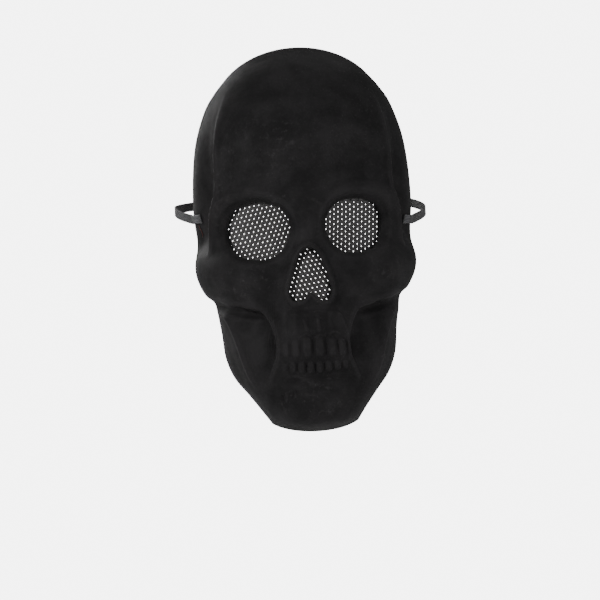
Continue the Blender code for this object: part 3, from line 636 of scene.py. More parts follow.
def nose_bone(x, z):
    """The bridge between the eyes, which runs down to the top of the nose hole."""
    half_width = NOSE_BONE_WIDTH_SHARE * NOSE_HALF_WIDTH
    half_length = NOSE_TOP_DROP + NOSE_BONE_REACH_SHARE * NOSE_HEIGHT
    middle = -NOSE_BONE_MIDDLE_SHARE * NOSE_TOP_DROP
    return NOSE_BONE_RISE * hill(x / half_width) * hill((z - middle) / half_length)


def nose_lip(x, z):
    """The raised edge round the nose hole."""
    return NOSE_LIP_RISE * hill(outside_nose(x, z) / NOSE_LIP_WIDTH - NOSE_LIP_CREST_SHARE)


def mounds(table, rise, x, z):
    """The broad mounds of one table, alike on both sides of the face."""
    total = np.zeros(np.shape(x))
    for mound in table:
        out = (np.abs(x) / TEMPLE_HALF_WIDTH - mound.out) / mound.half_out
        half_up = abs(height_on_face(math.copysign(mound.half_up, mound.up)))
        up = (z - height_on_face(mound.up)) / half_up
        total += mound.rise * rise * hill(np.hypot(out, up))
    return total


def cheek_edge(x, z):
    """The cheekbone's lower edge, with the groove right under it."""
    above, passed = signed_distance(face_line(CHEEK_EDGE_LINE), np.abs(x), z)
    widths = above / CHEEK_EDGE_WIDTH
    edge = CHEEK_EDGE_RISE * across_band(widths, CHEEK_EDGE_CREST)
    groove = CHEEK_EDGE_GROOVE * across_band(widths, CHEEK_EDGE_TRENCH)
    return (edge - groove) * fade_ends(passed, CHEEK_EDGE_FADE)


def temple(x, z):
    """The ridge at each temple, with the long hollow behind it."""
    behind, passed = signed_distance(face_line(TEMPLE_LINE), np.abs(x), z)
    widths = behind / TEMPLE_RIDGE_WIDTH
    ridge = TEMPLE_RIDGE_RISE * hill(widths) * fade_ends(passed, TEMPLE_RIDGE_FADE)
    front_wall = ramp(widths / TEMPLE_WALL_SHARE)
    back_slope = 1 - ramp((widths - TEMPLE_FLOOR_SHARE) / TEMPLE_SLOPE_SHARE)
    hollow = TEMPLE_HOLLOW * front_wall * back_slope * fade_ends(passed, TEMPLE_HOLLOW_FADE)
    return ridge - hollow


def jaw_hollow(x, z):
    """The hollow between the upper jaw and the jaw's ridge, with its steep front wall."""
    front, _ = signed_distance(face_line(UPPER_JAW_LINE), np.abs(x), z)
    before_ridge, passed = signed_distance(face_line(JAW_RIDGE_LINE), np.abs(x), z)
    inside = (front > 0) & (before_ridge < 0)
    breadth = np.maximum(front - before_ridge, JAW_HOLLOW_EDGE)
    wall = ramp(front / JAW_HOLLOW_EDGE)
    slope = 1 - ramp(front / breadth)
    hollow = JAW_HOLLOW * wall * slope * fade_ends(passed, JAW_HOLLOW_FADE)
    return np.where(inside, -hollow, 0.0)


def jaw_ridge(x, z):
    distance, passed, _ = measure_from(face_line(JAW_RIDGE_LINE), np.abs(x), z)
    ridge = JAW_RIDGE_RISE * hill(distance / JAW_RIDGE_WIDTH)
    return ridge * fade_ends(passed, JAW_RIDGE_FADE)


def chin_crease(x, z):
    distance, passed, _ = measure_from(face_line(CHIN_CREASE_LINE), np.abs(x), z)
    depth = 0.5 * CHIN_RISE * hill(distance / JAW_RIDGE_WIDTH)
    return -depth * ramp((1 - passed) / CHIN_CREASE_FADE)


def teeth(x, z):
    """Each tooth's pillow form with a groove round it, and the bulges of the roots."""
    total = np.zeros(np.shape(x))
    for tooth in TEETH:
        across = (2000 * x - tooth.left - tooth.right) / (tooth.right - tooth.left)
        up = (2000 * z - tooth.top - tooth.bottom) / (tooth.top - tooth.bottom)
        form = (np.abs(across) ** TOOTH_POWER + np.abs(up) ** TOOTH_POWER) ** (1 / TOOTH_POWER)
        total += tooth.rise * TOOTH_RISE * ramp((TOOTH_EDGE - form) / TOOTH_SLOPE)
        total -= min(1, tooth.rise) * GUM_GROOVE * across_band(form, GUM_BAND)
    for place in ROOT_PLACES:
        across = (x - place) / ROOT_HALF_WIDTH
        up = (z + ROOT_MIDDLE_SHARE * BITE_DROP) / (ROOT_SPREAD_SHARE * ROOT_LENGTH)
        total += ROOT_RISE * hill(across) * hill(up)
    return total


def small_marks(x, z):
    total = np.zeros(np.shape(x))
    for mark in MARKS:
        line = refine(np.array(mark.line) / 1000, LINE_FINENESS)
        distance, passed, _ = measure_from(line, x, z)
        form = hill(1000 * distance / mark.half_width)
        total += mark.rise / 1000 * form * fade_ends(passed, MARK_FADE)
    return total


def bones(x, z):
    """The bones and hollows that show on both sides of the wall."""
    return (
        mounds(MOUNDS, CHEEKBONE_RISE, x, z)
        + mounds(CHIN_MOUNDS, CHIN_RISE, x, z)
        + temple(x, z)
        + jaw_hollow(x, z)
        + cheek_edge(x, z)
    )


def broad_relief(x, z):
    """The relief of the inside, where each socket is a wide bowl."""
    return bones(x, z) + sockets(x, z)


def outer_relief(x, z):
    """All that shows on the outside, where each socket is a short wall."""
    face = brow(x, z) + nose_bone(x, z) + nose_lip(x, z)
    jaw = jaw_ridge(x, z) + chin_crease(x, z) + teeth(x, z)
    return bones(x, z) + socket_walls(x, z) + face + jaw + small_marks(x, z)


def look_around(relief, reach, x, z):
    """The relief at the places round about, a given distance away."""
    angles = np.arange(PLACES_AROUND) * math.tau / PLACES_AROUND
    return [relief(x + reach * math.cos(turn), z + reach * math.sin(turn)) for turn in angles]


def inner_relief(x, z):
    """The lowest broad relief within reach, so that the wall never gets thin at a step."""
    around = look_around(broad_relief, INNER_REACH, x, z)
    return np.minimum(broad_relief(x, z), np.min(around, axis=0))


def crest(x, z):
    """From 0 in a groove, through 0.5 where the face is even, to 1 on a ridge."""
    above = outer_relief(x, z) - np.mean(look_around(outer_relief, CREST_REACH, x, z), axis=0)
    return np.clip(0.5 + above / CREST_HEIGHT, 0, 1)


def relief_fade(place, share):
    """1 over the face, falling to 0 at the rim, so that the rim keeps its outline."""
    last = len(all_sections().turn) - 1
    from_sides = (1 - np.abs(share)) / RIM_FADE
    from_ends = np.minimum(place, last - place) / END_FADE
    return ramp(from_sides) * ramp(from_ends)


def raised_face(place, share, relief, depth):
    """Points of the face with its relief added, sunk by the depth."""
    base = smooth_face(place, share)
    height = relief(base[..., 0], base[..., 2]) * relief_fade(place, share)
    return base + outward(place, share) * (height - depth)[..., None]


def mesh_places(columns):
    """The places and shares of the rows and columns of a mesh."""
    rows = all_sections().rows.astype(int)
    places = [index + part / count for index, count in enumerate(rows[:-1]) for part in range(count)]
    places.append(len(rows) - 1)
    even = np.arange(-columns, columns + 1) / columns
    shares = CENTRE_FINENESS * even + (1 - CENTRE_FINENESS) * even**3
    return np.meshgrid(np.array(places), shares, indexing="ij")


def outside_holes(place, share):
    """How far each place lies outside the nearest hole, negative within a hole."""
    face = smooth_face(place, share)
    nearest = outside_nose(face[..., 0], face[..., 2])
    for eye in EYES:
        nearest = np.minimum(nearest, outside_eye(eye, face[..., 0], face[..., 2])[0])
    return nearest - EDGE_BULGE


def fit_to_holes(place, share):
    """Moves the mesh's corners that are nearest to a hole's edge onto that edge. Gives
    the moved places and shares, and how far each corner now lies outside."""
    away = outside_holes(place, share)
    moved = [place.copy(), share.copy()]
    closest = np.full(place.shape, 0.5 + 1e-6)
    for axis in (0, 1):
        low = [slice(None), slice(None)]
        high = [slice(None), slice(None)]
        low[axis] = slice(None, -1)
        high[axis] = slice(1, None)
        for here, there in ((tuple(low), tuple(high)), (tuple(high), tuple(low))):
            crosses = away[here] * away[there] < 0
            gap = np.where(crosses, away[here] - away[there], 1.0)
            part = np.where(crosses, away[here] / gap, 1.0)
            better = part < closest[here]
            closest[here] = np.where(better, part, closest[here])
            for old, new in zip((place, share), moved):
                on_edge = old[here] + (old[there] - old[here]) * part
                new[here] = np.where(better, on_edge, new[here])
    away = np.where(closest <= 0.5, 0.0, away)
    return moved[0], moved[1], away


def read_corners(mesh):
    points = np.empty(len(mesh.vertices) * 3, np.float32)
    mesh.vertices.foreach_get("co", points)
    return points.reshape(-1, 3).astype(float)


def move_corners(mesh, points):
    mesh.vertices.foreach_set("co", np.asarray(points, np.float32).reshape(-1))
    mesh.update()


def keep_values(mesh, name, values):
    """Stores one number for each corner of the mesh under a name."""
    layer = mesh.attributes.get(name) or mesh.attributes.new(name, "FLOAT", "POINT")
    layer.data.foreach_set("value", np.asarray(values, np.float32).reshape(-1))


def read_values(mesh, name):
    values = np.empty(len(mesh.vertices), np.float32)
    mesh.attributes[name].data.foreach_get("value", values)
    return values.astype(float)


def pick(mesh, faces=None, edges=None):
    """Goes into edit mode with only the given faces or edges selected."""
    bpy.ops.object.mode_set(mode="EDIT")
    bpy.ops.mesh.select_mode(type="FACE" if edges is None else "EDGE")
    bpy.ops.mesh.select_all(action="DESELECT")
    bpy.ops.object.mode_set(mode="OBJECT")
    chosen, owner = (faces, mesh.polygons) if edges is None else (edges, mesh.edges)
    owner.foreach_set("select", np.asarray(chosen, bool))
    bpy.ops.object.mode_set(mode="EDIT")


def crossed_faces(mesh, first):
    """Which faces a hole's edge crosses along their first or second diagonal."""
    away = read_values(mesh, "away")
    chosen = []
    for face in mesh.polygons:
        held = [away[index] for index in face.vertices]
        on_edge = len(held) == 4 and held[first] == 0 and held[first + 2] == 0
        chosen.append(on_edge and held[1 - first] * held[3 - first] < 0)
    return chosen


def mould_skin():
    """The outside of the mask as one sheet, with its holes trimmed out."""
    place, share, away = fit_to_holes(*mesh_places(SHELL_COLUMNS))
    rows, columns = place.shape
    bpy.ops.object.select_all(action="DESELECT")
    bpy.ops.mesh.primitive_grid_add(x_subdivisions=columns - 1, y_subdivisions=rows - 1, size=1)
    skin = bpy.context.object
    flat = read_corners(skin.data)
    order = np.lexsort((flat[:, 0].round(5), flat[:, 1].round(5)))
    corner_place = np.empty(len(order))
    corner_share = np.empty(len(order))
    corner_away = np.empty(len(order))
    corner_place[order] = place.reshape(-1)
    corner_share[order] = share.reshape(-1)
    corner_away[order] = away.reshape(-1)
    move_corners(skin.data, raised_face(corner_place, corner_share, outer_relief, 0.0))
    keep_values(skin.data, "place", corner_place)
    keep_values(skin.data, "share", corner_share)
    keep_values(skin.data, "away", corner_away)
    for first, method in ((0, "FIXED"), (1, "FIXED_ALTERNATE")):
        pick(skin.data, faces=crossed_faces(skin.data, first))
        bpy.ops.mesh.quads_convert_to_tris(quad_method=method)
        bpy.ops.object.mode_set(mode="OBJECT")
    away = read_values(skin.data, "away")
    within = [min(away[index] for index in face.vertices) < 0 for face in skin.data.polygons]
    pick(skin.data, faces=within)
    bpy.ops.mesh.delete(type="FACE")
    bpy.ops.object.mode_set(mode="OBJECT")
    return skin


def add_wall(skin):
    """Gives the sheet its thickness, with soft rounded edges round it and its holes."""
    wall = skin.modifiers.new("wall", "SOLIDIFY")
    wall.thickness = WALL
    wall.offset = -1
    bpy.ops.object.modifier_apply(modifier=wall.name)
    mesh = skin.data
    place = read_values(mesh, "place")
    share = read_values(mesh, "share")
    points = read_corners(mesh)
    outside = raised_face(place, share, outer_relief, 0.0)
    inside = raised_face(place, share, inner_relief, WALL)
    within = np.linalg.norm(points - outside, axis=1) > WALL / 2
    move_corners(mesh, np.where(within[:, None], inside, outside))
    keep_values(mesh, "depth", within)
    ends = np.empty(len(mesh.edges) * 2, np.int32)
    mesh.edges.foreach_get("vertices", ends)
    ends = within[ends.reshape(-1, 2)]
    pick(mesh, edges=ends[:, 0] != ends[:, 1])
    bpy.ops.mesh.subdivide(number_cuts=EDGE_CUTS)
    bpy.ops.mesh.select_all(action="SELECT")
    bpy.ops.mesh.normals_make_consistent(inside=False)
    bpy.ops.object.mode_set(mode="OBJECT")
    bpy.ops.object.shade_smooth()
    mesh = skin.data
    depth = read_values(mesh, "depth")
    normals = np.empty(len(mesh.vertices) * 3, np.float32)
    mesh.vertices.foreach_get("normal", normals)
    bulge = EDGE_BULGE * np.sqrt(np.clip(1 - (2 * depth - 1) ** 2, 0, None))
    move_corners(mesh, read_corners(mesh) + normals.reshape(-1, 3) * bulge[:, None])


def mark_wear_and_highlights(skin):
    """Stores where the face has crests and grooves, fine streaks and rubbed places, for wear and
    painted highlight.
    """
    mesh = skin.data
    place = read_values(mesh, "place")
    share = read_values(mesh, "share")
    base = smooth_face(place, share)
    x, z = base[:, 0], base[:, 2]
    fade = relief_fade(place, share) * (read_values(mesh, "depth") < 0.5)
    # Crests are painted paler in the foam's colour: partly wear, partly painted highlight.
    keep_values(mesh, "crest", 0.5 + (crest(x, z) - 0.5) * fade)
    streaks = np.zeros(len(x))
    for spot in STREAKS:
        across = (x - spot.out) / spot.half_out
        streaks += spot.strength * hill(across) * hill((z - spot.up) / spot.half_up)
    keep_values(mesh, "streaks", streaks * fade)
    # Rubbed places, strongest on the lit left side and the left brow: partly painted highlight.
    rubs_and_highlights = np.zeros(len(x))
    for spot in RUBBED_AND_LIT_PLACES:
        reach = np.hypot((x - spot.out) / spot.half_out, (z - spot.up) / spot.half_up)
        rubs_and_highlights += spot.strength * hill(reach)
    keep_values(mesh, "rubs_and_highlights", np.clip(rubs_and_highlights, 0, 1) * fade)


shell = mould_skin()
shell.name = "moulded_shell"
add_wall(shell)
mark_wear_and_highlights(shell)


def add_node(tree, kind, inputs=None, **settings):
    """Adds one node, sets what it is told, and links or sets its inputs."""
    node = tree.nodes.new(kind)
    for name, value in settings.items():
        setattr(node, name, value)
    for name, value in (inputs or {}).items():
        if isinstance(value, bpy.types.NodeSocket):
            tree.links.new(value, node.inputs[name])
        else:
            node.inputs[name].default_value = value
    return node


def new_group(name, outputs):
    """An empty node group with the named outputs, and its output node."""
    group = bpy.data.node_groups.new(name, "ShaderNodeTree")
    for title, kind in outputs:
        group.interface.new_socket(title, in_out="OUTPUT", socket_type=kind)
    return group, group.nodes.new("NodeGroupOutput")


def mottle_group():
    """Uneven tone of a dyed or moulded black surface: broad clouds, small flecks, grain."""
    group, out = new_group(
        "uneven_black",
        (("Clouds", "NodeSocketFloat"), ("Flecks", "NodeSocketFloat"), ("Grain", "NodeSocketFloat")),
    )
    where = add_node(group, "ShaderNodeTexCoord").outputs["Object"]
    clouds = add_node(
        group, "ShaderNodeTexNoise", {"Vector": where, "Scale": 42, "Detail": 5, "Roughness": 0.62}
    )
    spots = add_node(
        group, "ShaderNodeTexNoise", {"Vector": where, "Scale": 210, "Detail": 6, "Roughness": 0.72}
    )
    flecks = add_node(
        group,
        "ShaderNodeMapRange",
        {"Value": spots.outputs["Fac"], "From Min": 0.52, "From Max": 0.70},
        interpolation_type="SMOOTHSTEP",
    )
    grain = add_node(
        group, "ShaderNodeTexNoise", {"Vector": where, "Scale": 1500, "Detail": 3, "Roughness": 0.6}
    )
    group.links.new(clouds.outputs["Fac"], out.inputs["Clouds"])
    group.links.new(flecks.outputs["Result"], out.inputs["Flecks"])
    group.links.new(grain.outputs["Fac"], out.inputs["Grain"])
    return group


def calculate(tree, operation, first, second=None):
    """The output of one Math node."""
    inputs = {0: first} if second is None else {0: first, 1: second}
    return add_node(tree, "ShaderNodeMath", inputs, operation=operation).outputs["Value"]


def attribute(tree, name):
    return add_node(tree, "ShaderNodeAttribute", attribute_name=name).outputs["Fac"]


def map_range(tree, value, low, high, to_low, to_high):
    inputs = {"Value": value, "From Min": low, "From Max": high, "To Min": to_low, "To Max": to_high}
    return add_node(tree, "ShaderNodeMapRange", inputs).outputs["Result"]


def blend(tree, share, first, second):
    """The colour a share of the way from the first to the second."""
    inputs = {"Factor": share, 6: first, 7: second}
    return add_node(tree, "ShaderNodeMix", inputs, data_type="RGBA").outputs[2]


def bump(tree, height, distance, strength, under=None):
    inputs = {"Height": height, "Distance": distance, "Strength": strength}
    if under is not None:
        inputs["Normal"] = under
    return add_node(tree, "ShaderNodeBump", inputs).outputs["Normal"]


# The pale tone also serves as painted highlight on crests, and the rubbed tone as wear and painted
# highlight on the lit rubbed places.
SHELL_DARK = (0.0092, 0.0085, 0.0090, 1)
SHELL_PALE = (0.0225, 0.0209, 0.0221, 1)
SHELL_RUBBED_AND_LIT = (0.050, 0.047, 0.049, 1)


def foam_material():
    """Dull black foam plastic with clouds, pale rubbed flecks and fine grain, and painted highlight on
    its crests and on the lit rubbed places.
    """
    material, tree, shader = new_material("black_foam_plastic")
    mottle = add_node(tree, "ShaderNodeGroup", node_tree=mottle_group())
    clouds = mottle.outputs["Clouds"]
    flecks = mottle.outputs["Flecks"]
    grain = mottle.outputs["Grain"]
    # Crests painted paler: partly rubbed wear, partly painted highlight.
    raised = map_range(tree, attribute(tree, "crest"), 0.5, 1.0, 0, 0.6)
    tone = calculate(tree, "ADD", map_range(tree, clouds, 0.40, 0.62, 0, 0.80), raised)
    colour = blend(tree, tone, SHELL_DARK, SHELL_PALE)
    # Pale rubbed flecks, strongest where the light falls on the left: partly painted highlight.
    rubbed = calculate(tree, "MULTIPLY", flecks, attribute(tree, "rubs_and_highlights"))
    tree.links.new(blend(tree, rubbed, colour, SHELL_RUBBED_AND_LIT), shader.inputs["Base Color"])
    tree.links.new(map_range(tree, clouds, 0.3, 0.7, 0.80, 0.66), shader.inputs["Roughness"])
    shader.inputs["Specular IOR Level"].default_value = 0.18
    shader.inputs["Sheen Weight"].default_value = 0.05
    shader.inputs["Sheen Roughness"].default_value = 0.6
    where = add_node(tree, "ShaderNodeTexCoord").outputs["Object"]
    stretched = add_node(tree, "ShaderNodeMapping", {"Vector": where, "Scale": (430, 60, 28)})
    fibres = add_node(tree, "ShaderNodeTexNoise", {"Vector": stretched.outputs[0], "Detail": 2})
    lines = calculate(tree, "MULTIPLY", fibres.outputs["Fac"], attribute(tree, "streaks"))
    relief = bump(tree, lines, 0.0016, 1.0)
    relief = bump(tree, clouds, 0.0012, 0.35, relief)
    relief = bump(tree, grain, 0.00025, 0.5, relief)
    tree.links.new(relief, shader.inputs["Normal"])
    return material


shell.data.materials.append(foam_material())
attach(shell, "root")
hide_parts("mask_shell")


# Net panels. Black warp-knit netting with a slight shine, three pieces, each fixed flat
# to the inside of the wall round its hole. Its holes stand in columns, every other column
# half a hole lower, and each panel was laid with the columns at its own slant.
NET_MARGIN = 0.0045
NET_CLEARANCE = 0.00035
NET_COLUMN_PITCH = 0.0026
NET_HOLE_PITCH = 0.0032
NET_HOLE_HALF_WIDTH = 0.00021
NET_HOLE_HALF_HEIGHT = 0.00043
NET_HALF_THICKNESS = 0.00036
NET_PANEL_TAPER = 0.28
NET_EDGE_STEP = 5
CELL_SIDES = 12
CELL_CUTS = 3
MIDDLE_RING_SHARE = 0.38
MIDDLE_RING_THICKNESS = 0.74
THINNEST_YARN = 0.80
THICKEST_YARN = 1.25
CLOTH_REACH = 2.2
CLOTH_SPARE_HOLES = 4
FAR_IN_FRONT = -1.0

# The honeycomb line round one hole, in shares of the two pitches, with how thick the yarn
# is there, and the way to the hole's edge there in degrees
HoneyPoint = namedtuple("HoneyPoint", "across up thick turn")
HONEY_LINE = (
    HoneyPoint(0.688, 0.00, 1.00, 0),
    HoneyPoint(0.500, 0.25, 0.80, 33),
    HoneyPoint(0.312, 0.50, 1.00, 60),
    HoneyPoint(0.000, 0.50, 1.25, 90),
    HoneyPoint(-0.312, 0.50, 1.00, 120),
    HoneyPoint(-0.500, 0.25, 0.80, 147),
    HoneyPoint(-0.688, 0.00, 1.00, 180),
    HoneyPoint(-0.500, -0.25, 0.80, 213),
    HoneyPoint(-0.312, -0.50, 1.00, 240),
    HoneyPoint(0.000, -0.50, 1.25, 270),
    HoneyPoint(0.312, -0.50, 1.00, 300),
    HoneyPoint(0.500, -0.25, 0.80, 327),
)

# How the rows and columns wander where the netting is stretched: which way a wave moves
# them, which way it runs, its share of the panel's sway, its length and its start
Wave = namedtuple("Wave", "moves runs share length start")
SWAY_WAVES = (
    Wave("across", "up", 1.0, 0.011, 0.7),
    Wave("across", "across", 0.4, 0.006, 0.0),
    Wave("up", "across", 1.0, 0.013, 0.0),
    Wave("up", "up", 0.3, 0.007, 1.1),
)
Panel = namedtuple("Panel", "name node lean sway outline")


def knit_cell():
    """The yarn round one hole: a ring of corners on the hole's edge, then two more on the
    front and two on the back, out to the middle of the yarn."""
    bpy.ops.object.select_all(action="DESELECT")
    bpy.ops.mesh.primitive_cylinder_add(
        vertices=CELL_SIDES, radius=1, depth=2, end_fill_type="NOTHING"
    )
    cell = bpy.context.object
    heights = read_corners(cell.data)[:, 2]
    upright = [np.ptp(heights[list(edge.vertices)]) > 1 for edge in cell.data.edges]
    pick(cell.data, edges=upright)
    bpy.ops.mesh.subdivide(number_cuts=CELL_CUTS)
    bpy.ops.object.mode_set(mode="OBJECT")
    corners = read_corners(cell.data)
    turn = np.degrees(np.arctan2(corners[:, 1], corners[:, 0]))
    index = np.round(turn / (360 / CELL_SIDES)).astype(int) % CELL_SIDES
    level = corners[:, 2]
    honey = np.array(HONEY_LINE)[index]
    edge_turn = np.radians(honey[:, 3])
    edge_x = NET_HOLE_HALF_WIDTH * np.cos(edge_turn)
    edge_z = NET_HOLE_HALF_HEIGHT * np.sin(edge_turn)
    out_x = honey[:, 0] * NET_COLUMN_PITCH
    out_z = honey[:, 1] * NET_HOLE_PITCH
    ring = np.round(2 * np.abs(level)).astype(int)
    part = np.array((0.0, MIDDLE_RING_SHARE, 1.0))[ring]
    swell = np.array((0.0, MIDDLE_RING_THICKNESS, 1.0))[ring]
    x = edge_x + (out_x - edge_x) * part
    z = edge_z + (out_z - edge_z) * part
    y = np.sign(level) * swell * honey[:, 2] * NET_HALF_THICKNESS
    move_corners(cell.data, np.column_stack([x, y, z]))
    # Paler on knots and on the yarn's front and back, darker at each hole's edge: painted highlight
    # and painted shade.
    knot_highlight = (honey[:, 2] - THINNEST_YARN) / (THICKEST_YARN - THINNEST_YARN)
    keep_values(cell.data, "knot_highlight", np.abs(level) * knot_highlight)
    return cell


def repeat(thing, name, count, step):
    """Repeats a mesh in a straight line and joins what touches."""
    row = thing.modifiers.new(name, "ARRAY")
    row.count = count
    row.use_relative_offset = False
    row.use_constant_offset = True
    row.constant_offset_displace = step
    row.use_merge_vertices = True
    row.merge_threshold = 1e-5
    bpy.ops.object.modifier_apply(modifier=row.name)


def knit_cloth(width, height):
    """A flat piece of netting, centred on the origin."""
    cloth = knit_cell()
    half = (NET_COLUMN_PITCH, 0, NET_HOLE_PITCH / 2)
    across = math.ceil(width / (2 * NET_COLUMN_PITCH))
    up = math.ceil(height / NET_HOLE_PITCH)
    repeat(cloth, "next_column", 2, half)
    repeat(cloth, "column", up, (0, 0, NET_HOLE_PITCH))
    repeat(cloth, "columns", across, (2 * NET_COLUMN_PITCH, 0, 0))
    bpy.ops.object.mode_set(mode="EDIT")
    bpy.ops.mesh.select_all(action="SELECT")
    bpy.ops.mesh.remove_doubles(threshold=1e-5)
    bpy.ops.object.mode_set(mode="OBJECT")
    points = read_corners(cloth.data)
    middle = (points.min(axis=0) + points.max(axis=0)) / 2
    move_corners(cloth.data, points - middle * (1, 0, 1))
    return cloth


def eye_panel(eye):
    """The middle of an eye's net panel, and its edge's reach at each angle from there."""
    angle = np.radians(np.arange(0, 360, NET_EDGE_STEP))
    radius = eye_radius(eye, angle, NET_MARGIN)
    points = np.column_stack([eye.side * radius * np.cos(angle), radius * np.sin(angle)])
    return np.array(eye_centre(eye)), points


def nose_panel():
    """The middle and the edge of the egg-shaped panel behind the nose hole."""
    angle = np.radians(np.arange(0, 360, NET_EDGE_STEP))
    taper = 1 - NET_PANEL_TAPER * np.sin(angle)
    across = (NOSE_HALF_WIDTH + NET_MARGIN) * np.cos(angle) * taper
    up = (NOSE_HEIGHT / 2 + NET_MARGIN) * np.sin(angle)
    return np.array((0.0, -NOSE_TOP_DROP - NOSE_HEIGHT / 2)), np.column_stack([across, up])


def reach_of(outline, x, z):
    """How far an outline round the origin reaches in the direction of each place."""
    angle = np.arctan2(outline[:, 1], outline[:, 0])
    order = np.argsort(angle)
    radius = np.hypot(outline[:, 0], outline[:, 1])[order]
    return np.interp(np.arctan2(z, x), angle[order], radius, period=math.tau)


def inside_of_wall(depth):
    """The surface that lies a given depth inside the outer face, for finding a panel's y."""
    place, share = mesh_places(SHELL_COLUMNS // 2)
    points = raised_face(place, share, inner_relief, depth)
    rows, columns = place.shape
    corner = np.arange(rows * columns).reshape(rows, columns)
    faces = np.stack([corner[:-1, :-1], corner[:-1, 1:], corner[1:, 1:], corner[1:, :-1]], axis=-1)
    return BVHTree.FromPolygons(points.reshape(-1, 3).tolist(), faces.reshape(-1, 4).tolist())


def strike(surface, x, z):
    """Where a line from in front of the mask meets a surface, and its normal there."""
    return surface.ray_cast(Vector((x, FAR_IN_FRONT, z)), Vector((0, 1, 0)))[:2]


def lay_panel(panel, wall):
    """Cuts netting to a panel's outline and lays it against the inside of the wall."""
    middle, outline = panel.outline
    side = CLOTH_REACH * np.abs(outline).max() + CLOTH_SPARE_HOLES * NET_HOLE_PITCH
    cloth = knit_cloth(side, side)
    cloth.name = panel.name
    points = read_corners(cloth.data)
    straight = {"across": points[:, 0], "up": points[:, 2]}
    swayed = {way: values.copy() for way, values in straight.items()}
    for wave in SWAY_WAVES:
        turn = straight[wave.runs] / wave.length + wave.start
        swayed[wave.moves] += panel.sway * wave.share * np.sin(turn)
    lean = math.radians(panel.lean)
    turned_x = swayed["across"] * math.cos(lean) + swayed["up"] * math.sin(lean)
    turned_z = swayed["up"] * math.cos(lean) - swayed["across"] * math.sin(lean)
    limit = reach_of(outline, turned_x, turned_z)
    distance = np.hypot(turned_x, turned_z)
    beyond = distance > limit
    shrink = np.where(beyond, limit / np.maximum(distance, 1e-6), 1.0)
    thickness = np.where(beyond, 0.0, points[:, 1])
    move_corners(cloth.data, np.column_stack([turned_x * shrink, thickness, turned_z * shrink]))
    pick(cloth.data, faces=[all(beyond[list(face.vertices)]) for face in cloth.data.polygons])
    bpy.ops.mesh.delete(type="FACE")
    bpy.ops.mesh.select_all(action="SELECT")
    bpy.ops.mesh.remove_doubles(threshold=1e-6)
    bpy.ops.mesh.normals_make_consistent(inside=False)
    bpy.ops.object.mode_set(mode="OBJECT")
    bpy.ops.object.shade_smooth()
    points = read_corners(cloth.data)
    for point in points:
        struck = strike(wall, point[0] + middle[0], point[2] + middle[1])[0]
        point[:] = (struck.x, struck.y + point[1], struck.z)
    move_corners(cloth.data, points)
    return cloth


def twist_group():
    """Fine slanting ridges, like the plies of a twisted yarn or sewing thread."""
    group, out = new_group("twisted_plies", (("Plies", "NodeSocketFloat"),))
    where = add_node(group, "ShaderNodeTexCoord").outputs["Object"]
    slant = add_node(group, "ShaderNodeMapping", {"Vector": where, "Rotation": (0, 0.6, 0)})
    wave = add_node(
        group,
        "ShaderNodeTexWave",
        {"Vector": slant.outputs[0], "Scale": 900, "Distortion": 2.5, "Detail": 2},
        wave_type="BANDS",
        bands_direction="X",
    )
    group.links.new(wave.outputs["Fac"], out.inputs["Plies"])
    return group


plies = twist_group()
YARN_DARK = (0.020, 0.019, 0.020, 1)
YARN_PALE = (0.075, 0.070, 0.070, 1)


def yarn_material():
    """Black nylon yarn, a little shiny, painted paler on its knots and crowns as painted highlight."""
    material, tree, shader = new_material("black_net_yarn")
    twist = add_node(tree, "ShaderNodeGroup", node_tree=plies).outputs["Plies"]
    # Knots and yarn crowns painted paler: painted highlight.
    tone = calculate(tree, "ADD", calculate(tree, "MULTIPLY", twist, 0.35), attribute(tree, "knot_highlight"))
    tree.links.new(blend(tree, tone, YARN_DARK, YARN_PALE), shader.inputs["Base Color"])
    tree.links.new(map_range(tree, twist, 0, 1, 0.52, 0.38), shader.inputs["Roughness"])
    shader.inputs["Specular IOR Level"].default_value = 0.5
    shader.inputs["Sheen Weight"].default_value = 0.3
    shader.inputs["Sheen Roughness"].default_value = 0.4
    tree.links.new(bump(tree, twist, 0.0001, 0.6), shader.inputs["Normal"])
    return material


yarn = yarn_material()
inner_wall = inside_of_wall(WALL + NET_CLEARANCE + THICKEST_YARN * NET_HALF_THICKNESS)
for panel in (
    Panel("knit_net_left_eye", "eye_net_left", 22, 0.00030, eye_panel(EYES[0])),
    Panel("knit_net_right_eye", "eye_net_right", 3, 0.00025, eye_panel(EYES[1])),
    Panel("knit_net_nose", "nose_net", -38, 0.00055, nose_panel()),
):
    net = lay_panel(panel, inner_wall)
    net.data.materials.append(yarn)
    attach(net, "root")
    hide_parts(panel.node)


# Elastic strap. One flat band of black woven elastic, six millimetres wide, with fine
# cords along it. Its ends lie on the outside of the side walls, and it goes round the head.
STRAP_WIDTH = 0.0060
STRAP_THICKNESS = 0.0010
STRAP_CLEARANCE = 0.0003
STRAP_LAP_LENGTH = 0.0180
STRAP_LEFT_HEIGHT = 0.0110
STRAP_RIGHT_HEIGHT = 0.0040
STRAP_EAR_RISE = 0.0075
STRAP_BACK_HEIGHT = 0.0260
HEAD_HALF_WIDTH = 0.0845
HEAD_BACK = 0.1900
EAR_BACK = 0.1000
STRAP_LAP_STEPS = 18
STRAP_SIDE_STEPS = 30
STRAP_TURN_STEPS = 110
STRAP_CORDS = 7
CORD_POINTS = 4
CORD_DEPTH = 0.24
BAND_EDGE_POWER = 14
BAND_EDGE_SHARE = 0.2
RIM_POINTS = 600
LAP_POINTS = 200
LAP_FRONT_SHARE = 0.5
STITCH_TURN = 7.5


def rim_place(height):
    """Where along the sections the rim reaches a height."""
    place = np.linspace(0, len(all_sections().turn) - 1, RIM_POINTS)
    rim = smooth_face(place, np.ones_like(place))[:, 2]
    return float(np.interp(height, rim, place))


